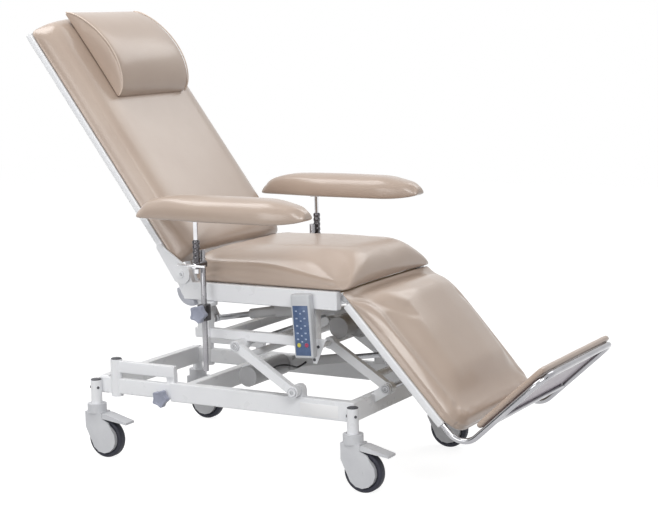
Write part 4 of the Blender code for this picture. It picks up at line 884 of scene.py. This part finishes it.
def softSpot(unit, pad):
    # a point of the block taken to the pad's box, its edges rounded off
    low, high = pad["low"], pad["high"]
    spot = [low[i] + (unit[i] + 1) / 2 * (high[i] - low[i]) for i in range(3)]
    rise = (unit[2] + 1) / 2
    blend = ease(rise, 0.0, padding["blendEnd"])
    reach = [pad["lowRound"][i] + (pad["topRound"][i] - pad["lowRound"][i]) * blend for i in range(2)]
    core, past, radii = [], [], []
    for i in range(3):
        under = reach[i] if i < 2 else pad["lowRound"][2]
        over = reach[i] if i < 2 else pad["topRound"][2]
        if i == 0:
            under = pad.get("startRound", under)
            over = pad.get("endRound", over)
        middle = min(max(spot[i], low[i] + under), high[i] - over)
        radius = over if spot[i] > middle else under
        core.append(middle)
        radii.append(radius)
        past.append((spot[i] - middle) / radius)
    size = math.sqrt(sum(p * p for p in past))
    if size > 1e-9:
        spot = [core[i] + radii[i] * past[i] / size for i in range(3)]
    return Vector(spot), rise


def shapePad(piece, pad, form):
    for vert in piece.data.vertices:
        unit = tuple(vert.co)
        spot, rise = softSpot(unit, pad)
        vert.co = form(spot, unit, rise)


def drawIn(spot, unit, rise, pull):
    # sides pull in between the corners
    waist = math.sin(math.pi * min(max(rise, 0.0), 1.0))
    spot.y -= math.copysign(pull * (1 - unit[0] ** 4) * waist * abs(unit[1]) ** 6, spot.y)


def raised(spot, pad, height):
    spot.z = pad["low"][2] + (spot.z - pad["low"][2]) * height
    return spot


def puffCover(piece, pad):
    onlyActive(piece)
    rest = [vert.co.copy() for vert in piece.data.vertices]
    held = piece.vertex_groups.new(name="board")
    floor = pad["low"][2] + pad["heldRise"]
    held.add([vert.index for vert in piece.data.vertices if vert.co.z < floor], 1.0, "REPLACE")
    cover = piece.modifiers.new("cover", "CLOTH")
    for word, value in clothSettings.items():
        setattr(cover.settings, word, value)
    cover.settings.uniform_pressure_force = pad["pressure"]
    cover.settings.effector_weights.gravity = 0
    for step in range(1, padding["lastFrame"] + 1):
        scene.frame_set(step)
    bpy.ops.object.modifier_apply(modifier="cover")
    scene.frame_set(1)
    for vert, start in zip(piece.data.vertices, rest):
        move = vert.co - start
        if move.length > pad["cap"]:
            vert.co = start + move * (pad["cap"] / move.length)
    piece.vertex_groups.clear()


def makePad(name, pad, form, place, node):
    piece = softBlock(name, pad["rows"])
    shapePad(piece, pad, form)
    applyModifier(piece, "SUBSURF", levels=1, render_levels=1)
    puffCover(piece, pad)
    applyModifier(piece, "SUBSURF", levels=1, render_levels=1)
    piece.data.transform(place)
    onlyActive(piece)
    bpy.ops.object.shade_smooth()
    standFor(piece, node)


seatPad = {
    "low": (-0.083, -0.284, 0.5914), "high": (0.456, 0.284, 0.6965), "rows": (22, 22, 8),
    "lowRound": (0.040, 0.012, 0.032), "topRound": (0.060, 0.058, 0.054), "startRound": 0.020,
    "rearShare": 0.91, "sideShare": 0.80, "cornerShare": 0.42, "pull": 0.003,
    "crownFull": 0.60, "cornerFrom": 0.40, "edgeFrom": 0.45, "rearHold": 0.55, "rearEnd": 0.12,
    "noseDrop": 0.08, "noseFrom": 0.82,
    "pressure": 3.0, "cap": 0.004, "heldRise": 0.012, "fill": 0.85,
}


def seatForm(spot, unit, rise):
    along = (unit[0] + 1) / 2
    across = abs(unit[1])
    rear, side, corner = seatPad["rearShare"], seatPad["sideShare"], seatPad["cornerShare"]
    crown = rear + (1 - rear) * ease(along, 0.0, seatPad["crownFull"])
    edge = side + (corner - side) * ease(along, seatPad["cornerFrom"], 1.0)
    hold = 1 - seatPad["rearHold"] * (1 - ease(along, 0.0, seatPad["rearEnd"]))
    height = crown + (edge - crown) * ease(across, seatPad["edgeFrom"], 1.0) * hold
    height *= 1 - seatPad["noseDrop"] * ease(along, seatPad["noseFrom"], 1.0) * (1 - across ** 4)
    drawIn(spot, unit, rise, seatPad["pull"])
    return raised(spot, seatPad, height)


makePad("seatCushion", seatPad, seatForm, chairPlace, "seat_cushion")

backPad = {
    "low": (-0.930, -0.288, -0.0046), "high": (-0.034, 0.288, 0.0768), "rows": (24, 18, 8),
    "lowRound": (0.012, 0.008, 0.008), "topRound": (0.050, 0.062, 0.064), "endRound": 0.016,
    "bow": 0.028, "bowEnd": 0.35, "sideDrop": 0.004,
    "pull": 0.005, "pressure": 2.0, "cap": 0.002, "heldRise": 0.010, "fill": 0.9,
}


def backForm(spot, unit, rise):
    drawIn(spot, unit, rise, backPad["pull"])
    spot.z -= backPad["sideDrop"] * rise * abs(unit[1]) ** 2
    along = (unit[0] + 1) / 2
    spot.x -= backPad["bow"] * (1 - unit[1] ** 2) * (1 - ease(along, 0.0, backPad["bowEnd"]))
    return spot


makePad("backCushion", backPad, backForm, backPlace, "back_cushion")

legPad = {
    "low": (0.026, -0.284, 0.0124), "high": (0.516, 0.284, 0.106), "rows": (36, 30, 6),
    "lowRound": (0.008, 0.008, 0.008), "topRound": (0.016, 0.014, 0.016), "startRound": 0.006,
    "corner": 0.070, "edgeShare": 0.30, "border": 0.17, "borderWide": 0.026,
    "valley": 0.03, "valleyAt": 0.052, "valleyWide": 0.026,
    "swell": 0.53, "swellSteps": ((0.78, 0.048, 0.118), (0.22, 0.090, 0.230)), "lowShare": 0.72,
    "shoulderStart": 0.018, "shoulder": 0.095,
    "lip": 0.040, "lipReach": 0.030, "lipShare": 0.085, "pull": 0.003,
    "pressure": 2.5, "cap": 0.003, "heldRise": 0.010, "fill": 0.85,
}


def legSwell(inward):
    # share of the swell at a distance inside the edge
    return sum(share * ease(inward, start, end) for share, start, end in legPad["swellSteps"])


def legBorder(inward):
    # the sewn border: a low roll, then a valley
    roll = ease(inward, 0.0, legPad["borderWide"])
    dip = max(1 - abs(inward - legPad["valleyAt"]) / legPad["valleyWide"], 0.0)
    return legPad["edgeShare"] + legPad["border"] * roll - legPad["valley"] * dip * dip * (3 - 2 * dip)


def legForm(spot, unit, rise):
    upper = spot.x - legPad["low"][0]
    lower = legPad["high"][0] - spot.x
    side = legPad["high"][1] - abs(spot.y)
    corner = legPad["corner"]
    spot.x -= legPad["lip"] * (1 - ease(upper, 0.0, legPad["lipReach"]))
    shoulder = min(max((spot.x - legPad["shoulderStart"]) / legPad["shoulder"], 0.0), 1.0)
    shoulder = math.sqrt(1 - (1 - shoulder) ** 2)
    swell = legPad["swell"] * legSwell(side) * legSwell(lower * legPad["lowShare"])
    height = legBorder(min(side, lower)) + swell
    height *= legPad["lipShare"] + (1 - legPad["lipShare"]) * shoulder
    drawIn(spot, unit, rise, legPad["pull"])
    if lower < corner and side < corner:
        # the square lower corner is drawn in to its round
        far = math.hypot(corner - lower, corner - side)
        reach = max(corner - lower, corner - side)
        pull = reach / far
        spot.x = legPad["high"][0] - corner + (corner - lower) * pull
        spot.y = math.copysign(legPad["high"][1] - corner + (corner - side) * pull, spot.y)
    return raised(spot, legPad, height)


makePad("legCushion", legPad, legForm, legPlace, "leg_cushion")

pillowPad = {
    "low": (-0.940, -0.184, 0.0780), "high": (-0.608, 0.184, 0.1636), "rows": (24, 12, 6),
    "lowRound": (0.005, 0.004, 0.005), "topRound": (0.005, 0.0035, 0.005), "welt": 0.0023, "weltSteps": 44,
    "skew": 1.3, "fullness": 0.45, "rim": 0.10, "endDrop": 0.07, "weltShare": 0.93, "weltIn": 0.0005,
    "pressure": 2.5, "cap": 0.004, "heldRise": 0.006, "fill": 0.9,
}


def pillowDome(along):
    share = min(max(along, 0.0), 1.0) ** pillowPad["skew"]
    return max(max(math.sin(math.pi * share), 0.0) ** pillowPad["fullness"], pillowPad["rim"])


def pillowForm(spot, unit, rise):
    along = (spot.x - pillowPad["low"][0]) / (pillowPad["high"][0] - pillowPad["low"][0])
    height = pillowDome(along) * (1 - pillowPad["endDrop"] * abs(unit[1]) ** 6)
    return raised(spot, pillowPad, height)


makePad("headPillow", pillowPad, pillowForm, backPlace, "head_pillow")


def weltPath(y):
    # along the sewn edge, over the pillow's rise
    low, high = pillowPad["low"], pillowPad["high"]
    points = []
    for step in range(pillowPad["weltSteps"] + 1):
        along = 0.5 - 0.5 * math.cos(math.pi * step / pillowPad["weltSteps"])
        rise = pillowDome(along) * pillowPad["weltShare"]
        points.append((low[0] + along * (high[0] - low[0]), y, low[2] + (high[2] - low[2]) * rise))
    return points


# welts along the pillow's sides, in the lighter vinyl that paints a highlight on them
for side, sign in sides:
    weltY = sign * (pillowPad["high"][1] - pillowPad["weltIn"])
    welt = tubePiece("pillowWelt." + side, weltPath(weltY), pillowPad["welt"], backPlace)
    wear(welt, "pillow", "weltVinyl")

footPad = {
    "low": (0.5225, -0.268, 0.072), "high": (0.5485, 0.268, 0.352), "rows": (5, 14, 14),
    "lowRound": (0.009, 0.014, 0.014), "topRound": (0.009, 0.014, 0.014), "crown": 0.005,
    "pressure": 1.5, "cap": 0.001, "heldRise": -1.0, "fill": 0.9,
}


def footForm(spot, unit, rise):
    crown = (1 - unit[1] ** 2) * (1 - unit[2] ** 2)
    if unit[0] < 0:
        spot.x += footPad["crown"] * (1 - crown)
    return spot


makePad("footCushion", footPad, footForm, legPlace, "footrest_pad")

armPad = {
    "low": (-0.217, -0.068, 0.7953), "high": (0.377, 0.068, 0.867), "rows": (26, 14, 8),
    "lowRound": (0.020, 0.012, 0.012), "topRound": (0.042, 0.050, 0.046),
    "centre": 0.363, "rearWide": 0.46, "wideFrom": -0.10, "wideFull": 0.46,
    "noseStart": 0.80, "noseWide": 0.46, "noseTaper": 1.4, "noseHigh": 0.52, "noseFall": 1.2,
    "noseLift": 0.012, "tailEnd": 0.26, "tailHigh": 0.50,
    "pressure": 2.5, "cap": 0.003, "heldRise": 0.006, "fill": 0.9,
}


def armForm(spot, unit, rise):
    along = (unit[0] + 1) / 2
    wide = armPad["rearWide"] + (1 - armPad["rearWide"]) * ease(along, armPad["wideFrom"], armPad["wideFull"])
    nose = min(max((along - armPad["noseStart"]) / (1 - armPad["noseStart"]), 0.0), 1.0)
    wide *= 1 - (1 - armPad["noseWide"]) * nose ** armPad["noseTaper"]
    spot.y *= wide
    tail = min(max(along / armPad["tailEnd"], 0.0), 1.0)
    high = armPad["tailHigh"] + (1 - armPad["tailHigh"]) * (1 - (1 - tail) ** 2)
    high *= 1 - (1 - armPad["noseHigh"]) * nose ** armPad["noseFall"]
    spot.z = armPad["low"][2] + (spot.z - armPad["low"][2]) * high + armPad["noseLift"] * nose ** 2
    return spot


for side, sign in sides:
    armPlace = Matrix.Translation(at(0, sign * armPad["centre"], 0))
    makePad("armCushion." + side, armPad, armForm, armPlace, "arm_pad_" + side)
print("pads shaped")


# floor, world and lamps
stage = {
    "floorSize": 16, "floorTone": 0.36, "floorGlow": 0.87, "fill": 0.34,
    "lamps": (
        ("keySoftbox", (3.2, -3.4, 4.0), (0, 0, 0.6), 2.2, 112),
        ("overheadSoftbox", (-1.7, -0.7, 3.8), (0, 0, 0.7), 2.2, 66),
        ("farSoftbox", (1.0, 2.8, 4.0), (0, 0, 0.7), 2.6, 48),
        ("frontSoftbox", (-0.6, -4.6, 1.5), (0, 0, 0.6), 2.6, 60),
    ),
    "cards": (
        ("rightCard", (4.2, -0.4, 0.9), (0, 0, 0.5), 0.7, 2.4),
        ("leftCard", (-2.4, -2.8, 0.9), (0.2, 0, 0.5), 1.6, 1.7),
        ("lowCard", (0.2, -2.4, 0.2), (0.4, 0, 0.3), 2.0, 0.4),
    ),
    "cardTone": 0.015,
}


def seenByLens(tree):
    # camera, glossy and transmission rays see the plain white
    path = newNode(tree, "LightPath")
    first = newNode(tree, "Math", operation="MAXIMUM")
    second = newNode(tree, "Math", operation="MAXIMUM")
    wire(tree, (
        (path, "Is Camera Ray", first, 0), (path, "Is Glossy Ray", first, 1),
        (first, "Value", second, 0), (path, "Is Transmission Ray", second, 1),
    ))
    return second


def makeFloor():
    nothingSelected()
    bpy.ops.mesh.primitive_plane_add(size=stage["floorSize"])
    floor = takeNew("studioFloor")
    material = bpy.data.materials.new("paperFloor")
    material.use_nodes = True
    tree = material.node_tree
    tree.nodes.remove(tree.nodes["Principled BSDF"])
    diffuse = newNode(tree, "BsdfDiffuse", {"Color": (stage["floorTone"],) * 3 + (1.0,)})
    glow = newNode(tree, "Emission")
    level = newNode(tree, "Math", {1: stage["floorGlow"]}, operation="MULTIPLY")
    total = newNode(tree, "AddShader")
    wire(tree, (
        (seenByLens(tree), "Value", level, 0), (level, "Value", glow, "Strength"),
        (diffuse, "BSDF", total, 0), (glow, "Emission", total, 1),
        (total, "Shader", tree.nodes["Material Output"], "Surface"),
    ))
    floor.data.materials.append(material)


def makeWorld():
    world = bpy.data.worlds.new("studioWorld")
    scene.world = world
    world.use_nodes = True
    tree = world.node_tree
    background = tree.nodes["Background"]
    background.inputs["Color"].default_value = (1, 1, 1, 1)
    level = newNode(tree, "MapRange", {"To Min": stage["fill"], "To Max": 1.0})
    wire(tree, ((seenByLens(tree), "Value", level, "Value"), (level, "Result", background, "Strength")))


def aimed(place, target):
    return (Vector(target) - Vector(place)).to_track_quat("-Z", "Y")


def makeLamps():
    for name, place, target, size, power in stage["lamps"]:
        bpy.ops.object.light_add(type="AREA", location=place)
        lamp = takeNew(name)
        lamp.data.size = size
        lamp.data.energy = power
        lamp.rotation_euler = aimed(place, target).to_euler()


def makeCards():
    # dark cards that only reflections show, for dark lines in the chrome
    material = bpy.data.materials.new("cardBlack")
    material.use_nodes = True
    shader = material.node_tree.nodes["Principled BSDF"]
    shader.inputs["Base Color"].default_value = (stage["cardTone"],) * 3 + (1.0,)
    for name, place, target, wide, high in stage["cards"]:
        nothingSelected()
        bpy.ops.mesh.primitive_plane_add(size=1)
        card = takeNew(name)
        turn = aimed(place, target).to_matrix().to_4x4()
        card.data.transform(Matrix.Translation(place) @ turn @ Matrix.Diagonal((wide, high, 1, 1)))
        card.data.materials.append(material)
        for word in ("camera", "diffuse", "shadow", "transmission"):
            setattr(card, "visible_" + word, False)


makeFloor()
makeWorld()
makeLamps()
makeCards()
scene.view_settings.view_transform = "Standard"
print("stage set")
